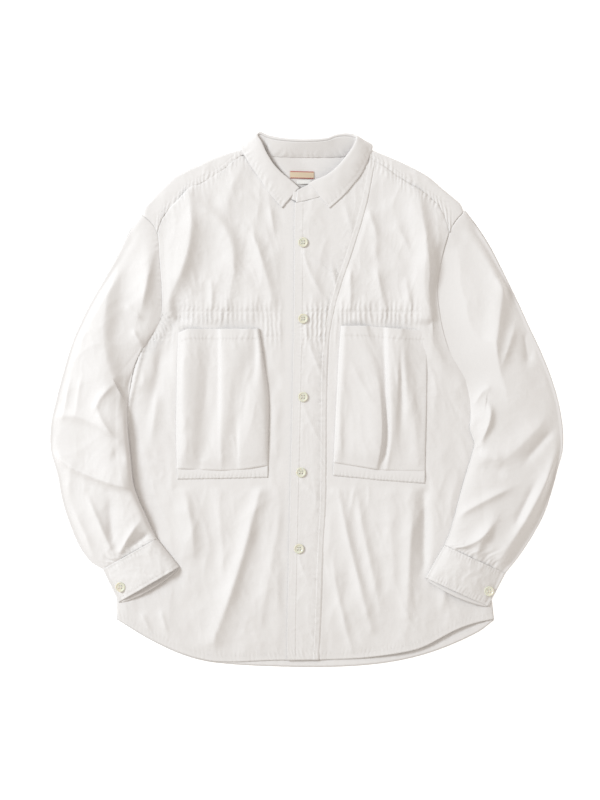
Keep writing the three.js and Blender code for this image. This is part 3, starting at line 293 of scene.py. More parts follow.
def sew_up(name, outer, inner, nodes, material=None, ring=False):
    """A closed cloth wall from matching grids of outer and inner points, with a rim all round.
    A ring's rows close on themselves, as a sleeve's do."""
    rows = outer.shape[0]
    grain_u = lengths_along(outer)
    grain_v = lengths_along(outer.transpose(1, 0, 2))
    if ring:
        outer = np.concatenate([outer, outer[:, :1]], axis=1)
        inner = np.concatenate([inner, inner[:, :1]], axis=1)
        grain_u = lengths_along(outer)
    wide = outer.shape[1]
    number = np.arange(rows * wide).reshape(rows, wide)
    if ring:
        number[:, -1] = number[:, 0]
    a, b, c, d = number[:-1, :-1], number[:-1, 1:], number[1:, 1:], number[1:, :-1]
    top = np.stack([a, b, c, d], axis=-1).reshape(-1, 4)
    spot = np.arange(rows * wide).reshape(rows, wide)
    sa, sb, sc, sd = spot[:-1, :-1], spot[:-1, 1:], spot[1:, 1:], spot[1:, :-1]
    top_uv = np.stack([sa, sb, sc, sd], axis=-1).reshape(-1, 4)
    count = rows * wide
    rims, rim_uv = [], []
    borders = [(number[0], spot[0], 1), (number[-1], spot[-1], -1)]
    if not ring:
        borders += [(number[:, 0], spot[:, 0], -1), (number[:, -1], spot[:, -1], 1)]
    for line, place, turn in borders:
        line, place = line[::turn], place[::turn]
        rims.append(np.stack([line[:-1], line[:-1] + count, line[1:] + count, line[1:]], axis=-1))
        rim_uv.append(np.stack([place[:-1], place[:-1], place[1:], place[1:]], axis=-1))
    faces = np.concatenate([top, top[:, ::-1] + count, *rims])
    face_uv = np.concatenate([top_uv, top_uv[:, ::-1], *rim_uv])
    points = np.concatenate([outer.reshape(-1, 3), inner.reshape(-1, 3)]) / 1000
    used = np.unique(faces)
    renumber = np.full(len(points), -1)
    renumber[used] = np.arange(len(used))
    points, faces = points[used], renumber[faces]
    corner = points[faces]
    volume = np.einsum("ij,ij->i", corner[:, 0], np.cross(corner[:, 1], corner[:, 2])).sum()
    volume += np.einsum("ij,ij->i", corner[:, 0], np.cross(corner[:, 2], corner[:, 3])).sum()
    if volume < 0:
        faces, face_uv = faces[:, ::-1], face_uv[:, ::-1]
    mesh = bpy.data.meshes.new(name)
    mesh.vertices.add(len(points))
    mesh.vertices.foreach_set("co", points.ravel())
    mesh.loops.add(faces.size)
    mesh.loops.foreach_set("vertex_index", faces.ravel())
    mesh.polygons.add(len(faces))
    mesh.polygons.foreach_set("loop_start", np.arange(0, faces.size, 4))
    mesh.update(calc_edges=True)
    mesh.polygons.foreach_set("use_smooth", np.ones(len(faces), bool))
    layer = mesh.uv_layers.new(name="cloth")
    grid_uv = np.stack(np.meshgrid(grain_u, grain_v), axis=-1).reshape(-1, 2) / 1000
    layer.data.foreach_set("uv", grid_uv[face_uv].ravel())
    mesh.materials.append(material or white_cotton)
    piece = bpy.data.objects.new(name, mesh)
    bpy.context.collection.objects.link(piece)
    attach(piece, "root")
    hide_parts(*nodes)
    return piece


def sheet_points(x, y, z):
    return np.stack(np.broadcast_arrays(x, y, z), axis=-1)


def spaced(start, end, step):
    return np.linspace(start, end, max(int(round(abs(end - start) / step)), 2) + 1)


def hem_ripples(along, away, pitch, reach, height, seed):
    """Puckers across a line of sewing: they are tight at the line and die away from it."""
    drift = along / pitch + 1.1 * ripple_noise(along / 23, away / 15, seed)
    uneven = 0.55 + 0.9 * np.clip(ripple_noise(along / 17, away / 30, seed + 3) + 0.2, 0, 1)
    return height * uneven * np.sin(2 * np.pi * drift) * np.exp(-((away / reach) ** 2))


back_share = spaced(0, 1, 1 / 150)
back_up = np.concatenate([spaced(0, 0.1, 1 / 190), spaced(0.1, 1, 1 / 80)[1:]])
across, up = np.meshgrid(back_share, back_up)
side_y = mix(SIDE_HEM, BACK_YOKE_SEAM - SEAM_GAP / 2, up)
back_x = mix(body_left(side_y), body_right(side_y), across)
back_y = mix(back_hem_at(mix(-284, 282, across)), BACK_YOKE_SEAM - SEAM_GAP / 2, up)
from_hem = back_y - back_hem_at(back_x)
hem_band = 0.5 * (1 - soft_step(from_hem, 9.5, 11))
back_top = BACK_WALL + hem_band + np.maximum(hem_ripples(back_x, from_hem - 9, 6, 9, 0.35, 40), -0.2)
sew_up(
    "back_panel",
    sheet_points(back_x, back_y, np.maximum(back_top, 0.5)),
    sheet_points(back_x, back_y, 0.0),
    ["back"],
)

# White sewing thread, and the running stitch that every seam and hem is sewn with
STITCH_PITCH = 3.0
STITCH_SIZE = (2.3, 0.55, 0.45)
thread, thread_tree = new_material("white_sewing_thread", roughness=0.55, sheen_weight=0.3)
thread_place = add_node(thread_tree, "ShaderNodeTexCoord", {}).outputs["Object"]
twist = {"Vector": thread_place, "Scale": 900}
twist = add_node(thread_tree, "ShaderNodeTexWave", twist, bands_direction="DIAGONAL").outputs["Fac"]
ply = {"Factor": twist, "A": (0.70, 0.675, 0.65, 1), "B": (0.84, 0.82, 0.80, 1)}
colour_from(thread, add_node(thread_tree, "ShaderNodeMix", ply, data_type="RGBA").outputs["Result"])

stitch_tree = bpy.data.node_groups.new("running_stitch", "GeometryNodeTree")
sockets = {
    name: stitch_tree.interface.new_socket(name, in_out="INPUT", socket_type=f"NodeSocket{kind}").identifier
    for name, kind in (
        ("Seam lines", "Geometry"),
        ("Pitch", "Float"),
        ("Stitch size", "Vector"),
        ("Unevenness", "Float"),
        ("Thread", "Material"),
    )
}
stitch_tree.interface.new_socket("Stitches", in_out="OUTPUT", socket_type="NodeSocketGeometry")
given = add_node(stitch_tree, "NodeGroupInput", {}).outputs
seam = add_node(stitch_tree, "GeometryNodeMeshToCurve", {"Mesh": given["Seam lines"]}).outputs["Curve"]
seam = {"Curve": seam, "Length": given["Pitch"]}
seam = add_node(stitch_tree, "GeometryNodeResampleCurve", seam, mode="LENGTH").outputs["Curve"]
way = {"Vector": add_node(stitch_tree, "GeometryNodeInputTangent", {}).outputs["Tangent"]}
way = add_node(stitch_tree, "FunctionNodeAlignRotationToVector", way, axis="X").outputs["Rotation"]
bead = {"Segments": 5, "Rings": 4, "Radius": 0.5}
bead = add_node(stitch_tree, "GeometryNodeMeshUVSphere", bead).outputs["Mesh"]
shortest = {0: 1, 1: given["Unevenness"]}
shortest = add_node(stitch_tree, "ShaderNodeMath", shortest, operation="SUBTRACT").outputs["Value"]
varied = {"Seed": 7, 2: shortest}
varied = add_node(stitch_tree, "FunctionNodeRandomValue", varied, data_type="FLOAT").outputs[1]
size = {0: given["Stitch size"], "Scale": varied}
size = add_node(stitch_tree, "ShaderNodeVectorMath", size, operation="SCALE").outputs["Vector"]
stitch = {"Points": seam, "Instance": bead, "Rotation": way, "Scale": size}
stitch = add_node(stitch_tree, "GeometryNodeInstanceOnPoints", stitch).outputs["Instances"]
stitch = add_node(stitch_tree, "GeometryNodeRealizeInstances", {"Geometry": stitch}).outputs["Geometry"]
stitch = {"Geometry": stitch, "Material": given["Thread"]}
stitch = add_node(stitch_tree, "GeometryNodeSetMaterial", stitch).outputs["Geometry"]
add_node(stitch_tree, "NodeGroupOutput", {"Stitches": stitch})


def evenly(points, step=1.0):
    """A plan line with a point at every step along it."""
    points = np.asarray(points, float)
    run = np.concatenate([[0], np.cumsum(np.linalg.norm(np.diff(points, axis=0), axis=1))])
    at = np.linspace(0, run[-1], max(int(run[-1] / step), 1) + 1)
    return np.stack([np.interp(at, run, points[:, k]) for k in (0, 1)], axis=1)


def upright(edge, low, high, off=0.0):
    """The plan line beside an edge that is given by height."""
    y = spaced(low, high, 2)
    return np.stack([edge(y) + off, y], axis=1)


def level(edge, left, right, off=0.0):
    """The plan line beside an edge that is given by place across."""
    x = spaced(left, right, 2)
    return np.stack([x, edge(x) + off], axis=1)


# Rays that lay a seam on its cloth start clear of it, and a stitch never leaps from ply to ply
ABOVE_ALL = 0.2
LONGEST_STEP = 0.004


def stitched(piece, over=(), under=()):
    """Stitches along plan lines, on the upper and the lower face of a piece."""
    cloth = bpy.data.objects[piece].data
    tree = BVHTree.FromPolygons([v.co for v in cloth.vertices], [p.vertices for p in cloth.polygons])
    points, edges = [], []
    for lines, start, way in ((over, ABOVE_ALL, -1), (under, -ABOVE_ALL, 1)):
        for line in lines:
            last = None
            for x, y in evenly(line) / 1000:
                found = tree.ray_cast((x, y, start), (0, 0, way))[0]
                if found is not None:
                    points.append(found)
                    if last is not None and (found - last).length <= LONGEST_STEP:
                        edges.append((len(points) - 2, len(points) - 1))
                last = found
    mesh = bpy.data.meshes.new("seam_lines")
    mesh.from_pydata(points, edges, [])
    sewing = bpy.data.objects.new(f"{piece}_stitches", mesh)
    bpy.context.collection.objects.link(sewing)
    maker = sewing.modifiers.new("stitches", "NODES")
    maker.node_group = stitch_tree
    maker[sockets["Pitch"]] = STITCH_PITCH / 1000
    maker[sockets["Stitch size"]] = [side / 1000 for side in STITCH_SIZE]
    maker[sockets["Unevenness"]] = 0.25
    maker[sockets["Thread"]] = thread
    bpy.context.view_layer.update()
    made = sewing.evaluated_get(bpy.context.evaluated_depsgraph_get())
    sewing.data = bpy.data.meshes.new_from_object(made)
    sewing.modifiers.clear()
    sewing.data.name = sewing.name
    sewing.data.polygons.foreach_set("use_smooth", np.ones(len(sewing.data.polygons), bool))
    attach(sewing, "root")


def laid_sheet(name, buttons=()):
    sewn_on = [f"{name}_stitches"] if f"{name}_stitches" in bpy.data.objects else []
    for button in buttons:
        sewn_on += [button, f"{button}_thread"]


stitched(
    "back_panel",
    [level(back_hem_at, -281, 279, HEM_DEPTH), level(back_hem_at, -281, 279, 2)],
    [level(back_hem_at, -281, 279, HEM_DEPTH), [(-222, 246), (214, 246)]],
)
laid_sheet("back_panel")


# The left and right fronts are of the same poplin, sewn to the back at the sides. Elastic thread
# gathers each one in two rows across the chest, so the cloth above and below stands in soft folds.
BODY_LOFT = 7.4
ARMHOLE_LIFT = 5
FRONT_WALL = 1.3
UPPER_GATHER = 132
LOWER_GATHER = 94
GATHER_PITCH = 7.4
UNDER_FRONT = 4.5
SEAM_LAP = 2.5
FLAP_LIFT = 1.8
FLAP_BLEND = (8.5, 36)
SHADE_WAY = (1.0, -0.5)

# Shoulder fold and yoke seams from the armhole to the neck: back x, fold x and y, front seam x and y
YOKE_LEFT = [
    (-223, -244.5, 276, -223, 250),
    (-219, -243, 288, -216, 270),
    (-214, -232, 300, -205, 285),
    (-205, -215, 318, -192, 297),
    (-188, -195, 336, -175, 316),
    (-160, -165, 351, -156, 325),
    (-130, -130, 366, -131, 339),
    (-97, -97, 375, -97.5, 366),
    (-90, -90.5, 371.5, -91, 361.5),
]
YOKE_RIGHT = [
    (87, 87.5, 372.5, 88.5, 359.5),
    (93, 93, 376, 94, 363),
    (118, 118, 367, 115, 349),
    (148, 150, 353, 133, 336),
    (175, 180, 337, 157, 320),
    (194, 203, 318, 183, 305),
    (205, 220, 304, 198, 291),
    (211, 231, 294, 208, 272),
    (215, 236.5, 282, 215, 250),
]
shoulder_places = [(row[1], row[2]) for row in YOKE_LEFT + YOKE_RIGHT]

# Neck seam from the centre front to the shoulder, on each side
NECK_LEFT = [(-81, 356), (-69, 340), (-55.5, 323), (-40.5, 311), (-24, 301), (-7.5, 294)]
NECK_RIGHT = [(4.5, 299), (22.5, 304), (40.5, 313), (57, 324), (72, 339), (82.5, 356)]
left_top = [row[3:] for row in YOKE_LEFT] + NECK_LEFT + [(UNDER_FRONT, 292)]
right_top = [(-17, 295), *NECK_RIGHT] + [row[3:] for row in YOKE_RIGHT]
FRONT_HEM = [
    (-284, -328),
    (-257, -344),
    (-233, -358),
    (-182, -381),
    (-134, -392),
    (-47, -390),
    (36, -389),
    (89, -386),
    (150, -377),
    (177, -369),
    (225, -344),
    (254, -334),
    (282, -328),
]
front_hem_at = through(*zip(*FRONT_HEM))

# The flap's free edge and its slanting seam, by height
FLAP_EDGES = [
    (-388, -28.5, 20),
    (-330, -28, 22.5),
    (-240, -26, 25.5),
    (-150, -24, 30),
    (0, -20.5, 31.5),
    (60, -19.5, 33),
    (98, -18.5, 36),
    (140, -18, 44.5),
    (174, -17.5, 54),
    (224, -17.5, 71),
    (291, -17, 91),
    (356, -17, 104),
]
flap_heights, flap_free_places, flap_seam_places = zip(*FLAP_EDGES)
flap_free = through(flap_heights, flap_free_places)
flap_seam = through(flap_heights, flap_seam_places)


def front_rest(x, y):
    """Underside of the fronts: on the back at the sides, a little loft over it in the middle."""
    inward = np.maximum(np.minimum(x - body_left(y), body_right(y) - x), 0)
    edge = ARMHOLE_LIFT * soft_step(y, 60, 160)
    hem_share = mix(0.06, 0.55, soft_step(x, 70, 150))
    middle = BODY_LOFT * mix(hem_share, 1, soft_step(y - front_hem_at(x), -5, 85))
    puff = 1 - np.exp(-inward / 50)
    below = np.maximum(np.interp(x, *zip(*shoulder_places)) - y, 0)
    shoulder = mix(0.35, 1, 1 - np.exp(-below / 22))
    return 1.5 + mix(edge, middle, puff) * shoulder


def fold_field(x, y, folds):
    """Heights of listed folds. A row gives a path through three points, the fold's width on
    its light side and on its shaded side, its height, how round its crest is, and how full it is
    where it starts and ends."""
    total = np.zeros(np.broadcast(x, y).shape)
    x, y = np.broadcast_arrays(x, y)
    for x0, y0, x1, y1, x2, y2, light, shade, height, form, start, end in folds:
        t = np.linspace(0, 1, 15)
        cx, cy = 2 * x1 - (x0 + x2) / 2, 2 * y1 - (y0 + y2) / 2
        px = (1 - t) ** 2 * x0 + 2 * t * (1 - t) * cx + t * t * x2
        py = (1 - t) ** 2 * y0 + 2 * t * (1 - t) * cy + t * t * y2
        reach = 2.6 * max(light, shade)
        near = (x > px.min() - reach) & (x < px.max() + reach)
        near &= (y > py.min() - reach) & (y < py.max() + reach)
        if not near.any():
            continue
        xs, ys = x[near], y[near]
        best = np.full(xs.shape, np.inf)
        side, place = np.zeros(xs.shape), np.zeros(xs.shape)
        for k in range(len(t) - 1):
            dx, dy = px[k + 1] - px[k], py[k + 1] - py[k]
            share = np.clip(((xs - px[k]) * dx + (ys - py[k]) * dy) / (dx * dx + dy * dy), 0, 1)
            away = np.hypot(xs - px[k] - share * dx, ys - py[k] - share * dy)
            closer = away < best
            best[closer] = away[closer]
            side[closer] = (dx * (ys - py[k]) - dy * (xs - px[k]))[closer]
            place[closer] = (k + share[closer]) / (len(t) - 1)
        left_is_shade = -(y2 - y0) * SHADE_WAY[0] + (x2 - x0) * SHADE_WAY[1] > 0
        width = np.where((side > 0) == left_is_shade, shade, light)
        full = mix(start, 1, soft_step(place, 0, 0.35)) * mix(end, 1, soft_step(1 - place, 0, 0.35))
        total[near] += height * full * np.exp(-((best / width) ** form))
    return total


FOLD_SHARE = 1.75

LEFT_FOLDS = [
    (-176, 306, -177, 222, -219, 129, 20, 12, 6.5, 1.5, 0.3, 0.3),
    (-177, 300, -114, 240, -120, 140, 16, 11, 4.4, 1.5, 0.5, 0.4),
    (-88, 255, -69, 219, -51, 150, 10, 9, 3.2, 1.5, 0.1, 0.6),
    (-24, 240, -22, 192, -22, 140, 9, 7, 1.8, 1.6, 0.2, 0.6),
    (-54, 291, -51, 270, -46, 243, 5, 4, 1.4, 1.4, 0, 0),
    (-142, 186, -141, 162, -141, 138, 5, 4, 1.4, 1.4, 0, 0.8),
    (-201, 156, -189, 123, -192, 82, 12, 14, -4, 1.8, 0.3, 0.3),
    (-213, 90, -222, 38, -231, -18, 10, 14, -3.5, 1.8, 0.3, 0.3),
    (-222, 18, -226, -18, -234, -75, 7, 9, 2.4, 1.5, 0.1, 0.1),
    (-183, -138, -171, -188, -168, -249, 16, 9, 4.2, 1.5, 0.3, 0),
    (-66, -120, -100, -249, -140, -362, 13, 10, 5.6, 1.5, 0.6, 0.4),
    (-34, -150, -51, -240, -72, -360, 9, 9, 1.5, 1.6, 0.2, 0.2),
    (-136, -147, -126, -210, -123, -288, 8, 7, 1.6, 1.5, 0.2, 0.1),
    (-249, -316, -240, -333, -231, -351, 4, 4, 1.6, 1.5, 0, 0.4),
    (-219, -310, -213, -330, -207, -351, 5, 4, 1.6, 1.5, 0, 0.4),
    (-81, 375, -111, 315, -120, 261, 10, 10, 1.4, 1.7, 0, 0),
]
RIGHT_FOLDS = [
    (166, 315, 180, 232, 189, 130, 20, 11, 6, 1.5, 0.4, 0.5),
    (64, 207, 66, 172, 66, 138, 6, 5, 1.8, 1.5, 0, 0.7),
    (105, 207, 110, 172, 118, 138, 10, 6, 2.4, 1.5, 0.1, 0.7),
    (90, 288, 99, 267, 108, 240, 7, 5, 2, 1.4, 0.1, 0),
    (130, 270, 144, 246, 159, 213, 7, 5, 1.8, 1.4, 0, 0),
    (102, 264, 105, 234, 102, 204, 9, 7, 1.5, 1.6, 0, 0),
    (148, 186, 152, 162, 156, 136, 7, 5, 1.6, 1.5, 0, 0.7),
    (48, -132, 69, -232, 98, -342, 7, 7, 3.2, 1.4, 0.4, 0.5),
    (75, -129, 90, -218, 116, -327, 8, 8, 2.6, 1.5, 0.4, 0.2),
    (38, -234, 50, -300, 69, -375, 6, 6, 2.2, 1.4, 0.1, 0.6),
    (162, -147, 154, -240, 150, -342, 12, 8, 3.2, 1.5, 0.2, 0.2),
    (177, -120, 177, -195, 177, -282, 8, 8, -3.4, 1.7, 0.5, 0.1),
    (213, -240, 207, -285, 201, -333, 9, 9, 1.6, 1.6, 0, 0),
    (123, -150, 129, -225, 132, -300, 9, 9, 1.2, 1.6, 0, 0),
]

# Pocket bags by name: left and right sides at five heights, as (height, left, right)
POCKET_SIDES = {
    "left": [(-125, -192, -57), (-60, -194.5, -56), (7, -194, -55.5), (60, -193, -63), (110, -191, -70.5)],
    "right": [(-125, 40, 178), (-60, 42, 179), (0, 45, 180.5), (60, 48, 181), (115, 52, 181.5)],
}
pocket_left_side, pocket_right_side = (
    {hand: through(*zip(*[(row[0], row[side]) for row in rows])) for hand, rows in POCKET_SIDES.items()}
    for side in (1, 2)
)


def clear_of_pockets(x, y):
    share = np.ones(np.broadcast(x, y).shape)
    for hand in POCKET_SIDES:
        beside = np.maximum(pocket_left_side[hand](y) - x, x - pocket_right_side[hand](y))
        outside = np.maximum(beside, np.maximum(-128 - y, y - 110))
        share = np.minimum(share, soft_step(outside, 0, 12))
    return share


def sleeve_reach(y):
    """Where the sleeves' and cuffs' inner edges lie on the body, left and right, at each height."""
    left = np.interp(
        y,
        (-249, -206, -188, -170, -148, -123, -94, -65, -45, -22, -4, 24, 50, 72),
        (-189, -223, -232, -240, -250, -258, -261, -264, -266, -267, -266, -262, -257, -250),
    )
    right = np.interp(
        y,
        (-265, -216, -197, -177, -150, -121, -98, -78, -66, -56, -42, -27, -12),
        (178, 207, 215, 221, 228, 236, 243, 249, 252, 249, 246, 248, 252),
    )
    return left, right


def armhole_fall(y):
    """How deep the right armhole's seam lies under the cloth on either side of it."""
    return 3.2 * soft_step(y, 105, 165) * (1 - soft_step(y, 222, 246))


def armhole_slope(y, inward):
    """The right front swells beside the armhole and falls away to its seam."""
    swell = 3.4 * soft_step(y, 20, 75) * (1 - soft_step(y, 200, 246))
    swell = swell * np.exp(-(((inward - 25) / 14) ** 2)) * soft_step(inward, 0, 16)
    return swell - armhole_fall(y) * np.exp(-((inward / 12) ** 2))


def clear_of_sleeves(x, y):
    left, right = sleeve_reach(y)
    inside = np.minimum(x - left, right - x)
    under_cuff = soft_step(y, -300, -250)
    covered = soft_step(inside, -4, 14)
    by_arm = np.where(x < 0, soft_step(y, 60, 84), soft_step(y, 0, 20))
    return mix(1, mix(covered, 1, by_arm), under_cuff)


def gathers(x, y, seed):
    """Shirring: small pleats, tight between the two rows and loosening above and below them."""
    above, below = y - UPPER_GATHER, LOWER_GATHER - y
    off = np.maximum(np.maximum(above, below), 0)
    wander = 0.6 * ripple_noise(x / 30, y / 40, seed) + 0.22 * ripple_noise(x / 9, y / 30, seed + 1)
    phase = x / GATHER_PITCH + wander + 0.25 * ripple_noise(x / 26, y / 9, seed + 2)
    pleat = (0.5 + 0.5 * np.cos(2 * np.pi * phase)) ** 1.4
    uneven = 0.55 + 0.9 * np.clip(ripple_noise(x / 11, y / 60, seed + 4) + 0.3, 0, 1)
    long = 0.8 + 1.1 * np.clip(ripple_noise(x / 14, y * 0, seed + 7) + 0.2, 0, 1)
    pinch = 1 - 0.72 * np.exp(-((y - UPPER_GATHER) / 2.2) ** 2)
    pinch -= 0.72 * np.exp(-((y - LOWER_GATHER) / 2.2) ** 2)
    bead = 0.35 * np.exp(-((np.abs(y - UPPER_GATHER) - 3.2) / 1.8) ** 2)
    bead += 0.35 * np.exp(-((np.abs(y - LOWER_GATHER) - 3.2) / 1.8) ** 2)
    fade = np.exp(-((off / (13 * long)) ** 1.5))
    return uneven * (pleat * (1.5 * fade * pinch) + bead * fade * pleat)


def gathered_share(x, y):
    inside_left = soft_step(x - body_left(y), 12, 40)
    inside_right = soft_step(body_right(y) - x, 22, 44)
    return inside_left * inside_right


def puffs(x, y):
    """The cloth billows above the upper row where the gathers let it out."""
    above = np.clip((y - UPPER_GATHER) / 34, 0, 1)
    swell = np.sin(np.pi * above ** 0.7) ** 2
    return 2.0 * swell * np.clip(0.4 + ripple_noise(x / 19, y / 60, 61), 0, 1)


def front_relief(x, y, folds, seed):
    """Everything that stands on a front's plain shape: folds, gathers and small wrinkles."""
    inward = np.minimum(x - body_left(y), body_right(y) - x)
    free = clear_of_pockets(x, y) * clear_of_sleeves(x, y) * soft_step(inward, 1, 15)
    gather = gathered_share(x, y)
    small = washed(x, y, seed, 0.12, 1.9, 1.25) * (0.35 + 0.65 * free)
    broad = 2.4 * ripple_noise(x / 50, y / 85, seed + 70) + 1.5 * ripple_noise(x / 24, y / 46, seed + 72)
    large = (FOLD_SHARE * fold_field(x, y, folds) + broad) * free
    shirred = (gathers(x, y, seed + 30) + puffs(x, y)) * gather * (0.3 + 0.7 * free)
    from_hem = y - front_hem_at(x)
    calm = soft_step(from_hem, 4, 30)
    hem = hem_ripples(x, from_hem - 9, 5.4, 8, 0.5, seed + 50)
    return (large + small) * mix(0.25, 1, calm) + shirred + hem


def side_seam(x, y):
    """The side seam rolls a little way onto the left front, and pleats fan out from the armhole."""
    seam_x = np.interp(y, (-45, -30, 6, 84, 110), (-272, -270, -262, -243, -232))
    off = x - seam_x
    share = soft_step(y, -60, -30) * (1 - soft_step(y, 84, 120))
    ridge = 2.8 * np.exp(-((off / 3.6) ** 2)) + hem_ripples(y, off, 8, 7, 0.7, 71)
    pleats = hem_ripples(0.89 * x + 0.45 * y, x - body_left(y) - 9, 6.4, 13, 1.1, 77)
    return share * ridge + soft_step(y, 40, 66) * (1 - soft_step(y, 118, 136)) * pleats


def yoke_puckers(x, away):
    return hem_ripples(x * 1.15, away - 1, 6.8, 10, 0.8, 143)


def under_yoke(x, y, top):
    """A front's top edge dips under the yoke that is sewn over it."""
    below = np.interp(x, *zip(*top)) - y
    dip = 0.9 * (1 - soft_step(below, -1.4, 0.2)) - yoke_puckers(x, below)
    return dip * soft_step(np.abs(x), 84, 90)


def hem_settles(x, y):
    """The hem's edge lies close on the back, except at the right, where it lifts."""
    return 0.75 * (1 - soft_step(y - front_hem_at(x), 0, 16)) * (1 - soft_step(x, 70, 120))


def front_left_top(x, y):
    under_flap = 1 - soft_step(x, -44, -30)
    plain = front_rest(x, y) + FRONT_WALL - hem_settles(x, y)
    relief = front_relief(x, y, LEFT_FOLDS, 3) + side_seam(x, y)
    inward = x - body_left(y)
    turn_down = 1.1 * np.exp(-np.maximum(inward, 0) / 3) * (1 - soft_step(y, 60, 110))
    return plain + relief * mix(0.0, 1, under_flap) - turn_down - under_yoke(x, y, left_top)


def front_right_top(x, y):
    plain = front_rest(x, y) + FRONT_WALL - hem_settles(x, y)
    plain = plain + FLAP_LIFT * (1 - soft_step(x, *FLAP_BLEND))
    from_seam = soft_step(x - flap_seam(y), 0, 9)
    inward = body_right(y) - x
    turn_down = 1.1 * np.exp(-np.maximum(inward, 0) / 3) * (1 - soft_step(y, 40, 90))
    turn_down = turn_down - armhole_slope(y, inward)
    seam_dip = 0.9 * (1 - soft_step(x - flap_seam(y), -1.4, 0.2))
    relief = front_relief(x, y, RIGHT_FOLDS, 13) * mix(0.25, 1, from_seam)
    return plain + relief - turn_down - seam_dip - under_yoke(x, y, right_top)


def blended_patch(left, right, bottom, top, left_range, right_range, columns, rows):
    """Plan positions of a panel's grid: its sides by height, its bottom and top by place across."""
    share, up = np.meshgrid(columns, rows)
    left_y, right_y = mix(*left_range, up), mix(*right_range, up)
    x = mix(left(left_y), right(right_y), share)
    bottom_x = mix(left(left_range[0]), right(right_range[0]), share)
    top_x = mix(left(left_range[1]), right(right_range[1]), share)
    return x, mix(bottom(bottom_x), top(top_x), up)


def rows_with_dense_bands(low, high, step, dense):
    """Shares from 0 to 1 up a panel, closer together within each (from, to) band."""
    heights = [low]
    while heights[-1] < high:
        here = heights[-1]
        fine = any(start < here < end for start, end in dense)
        heights.append(here + (step * 0.55 if fine else step))
    return (np.array(heights) - low) / (heights[-1] - low)


def front_panel(name, node, top_at, x, y):
    z = top_at(x, y)
    return sew_up(name, sheet_points(x, y, z), sheet_points(x, y, z - WALL), [node])


front_rows = rows_with_dense_bands(-392, 300, 3.2, [(-400, -378), (78, 160)])
left_x, left_y = blended_patch(
    body_left,
    lambda y: np.full(np.shape(y), float(UNDER_FRONT)),
    front_hem_at,
    lambda x: np.interp(x, *zip(*left_top)) + SEAM_LAP * soft_step(np.abs(x), 84, 90) - SEAM_GAP,
    (SIDE_HEM, BACK_YOKE_SEAM),
    (CENTRE_HEM, 292),
    spaced(0, 1, 1 / 142),
    front_rows,
)
front_panel("left_front", "front_left", front_left_top, left_x, left_y)
stitched(
    "left_front",
    [
        level(front_hem_at, -281, -30, HEM_DEPTH),
        level(front_hem_at, -281, -30, 2),
        [(-200, UPPER_GATHER), (-20, UPPER_GATHER)],
        [(-54, LOWER_GATHER), (-20, LOWER_GATHER)],
        [(-222, LOWER_GATHER), (-197, LOWER_GATHER)],
        upright(body_left, 74, 246, 6.5),
    ],
)
laid_sheet("left_front")
right_x, right_y = blended_patch(
    lambda y: flap_seam(y) - SEAM_LAP,
    body_right,
    front_hem_at,
    lambda x: np.interp(x, *zip(*right_top)) + SEAM_LAP * soft_step(np.abs(x), 84, 90) - SEAM_GAP,
    (CENTRE_HEM, 356),
    (SIDE_HEM, BACK_YOKE_SEAM),
    spaced(0, 1, 1 / 124),
    front_rows,
)
front_panel("right_front", "front_right", front_right_top, right_x, right_y)
stitched(
    "right_front",
    [
        level(front_hem_at, 24, 279, HEM_DEPTH),
        level(front_hem_at, 24, 279, 2),
        [(45, UPPER_GATHER), (186, UPPER_GATHER)],
        upright(body_right, 74, 246, -6.5),
    ],
)
laid_sheet("right_front")


# The front flap laps over the left front. Its free edge is a folded, topstitched band with the
# buttons, and its slanting flat-felled seam joins it to the right front.
FLAP_FOLDS = [
    (-3, 224, 27, 200, 60, 177, 4, 4, 1.6, 1.3, 0.8, 0.1),
    (-3, 219, 9, 184, 33, 148, 4, 5, 2.2, 1.3, 0.8, 0.1),
    (-2, 108, 9, 72, 32, 20, 4, 5, 1.9, 1.3, 0.6, 0.1),
    (-4, -8, 8, -36, 27, -72, 4, 4, 1.2, 1.3, 0.6, 0),
    (-6, -120, 8, -135, 26, -154, 4, 4, 1.5, 1.3, 0.8, 0),
    (-10, -234, -4, -255, 10, -279, 4, 4, 1.3, 1.3, 0.8, 0),
    (57, 298, 63, 276, 69, 252, 5, 5, 1.8, 1.4, 0.2, 0),
    (36, 252, 24, 222, 18, 192, 6, 6, 1, 1.5, 0, 0),
    (36, 207, 42, 180, 45, 153, 4, 4, 1.2, 1.4, 0, 0),
    (9, 162, 12, 144, 15, 132, 4, 4, 1, 1.4, 0, 0.6),
]


def flap_top(x, y):
    lift = FLAP_LIFT * (1 - soft_step(x, *FLAP_BLEND))
    from_edge = x - flap_free(y)
    from_seam = flap_seam(y) - x
    body = front_rest(x, y) + FRONT_WALL + lift - hem_settles(x, y)
    free = soft_step(from_seam, 4, 14) * soft_step(from_edge, 9, 16)
    small = washed(x, y, 83, -0.25, 1.7, 0.85)
    shirred = gathers(x, y, 90) * soft_step(from_seam, 2, 9) * soft_step(from_edge, 10, 14)
    folds = fold_field(x, y, FLAP_FOLDS) * soft_step(from_edge, 8, 14) * soft_step(from_seam, 1, 8)
    felled = 0.55 * (1 - soft_step(from_seam, 7.5, 9.2)) - 0.75 * (1 - soft_step(from_seam, 0, 2.4))
    puckers = hem_ripples(y + 0.4 * x, from_seam - 9, 11, 7, 0.45, 93)
    band = 0.5 * (1 - soft_step(from_edge, 11.5, 13))
    edge_puckers = hem_ripples(y, from_edge - 11, 6.5, 5, 0.32, 95)
    hem_low = y - front_hem_at(x)
    hem = 0.4 * (1 - soft_step(hem_low, 9, 10.5)) + hem_ripples(x, hem_low - 9, 5.4, 6, 0.35, 97)
    sewn = felled + puckers + band + edge_puckers + hem
    return body + small * (0.3 + 0.7 * free) + folds + shirred + sewn - under_yoke(x, y, right_top)


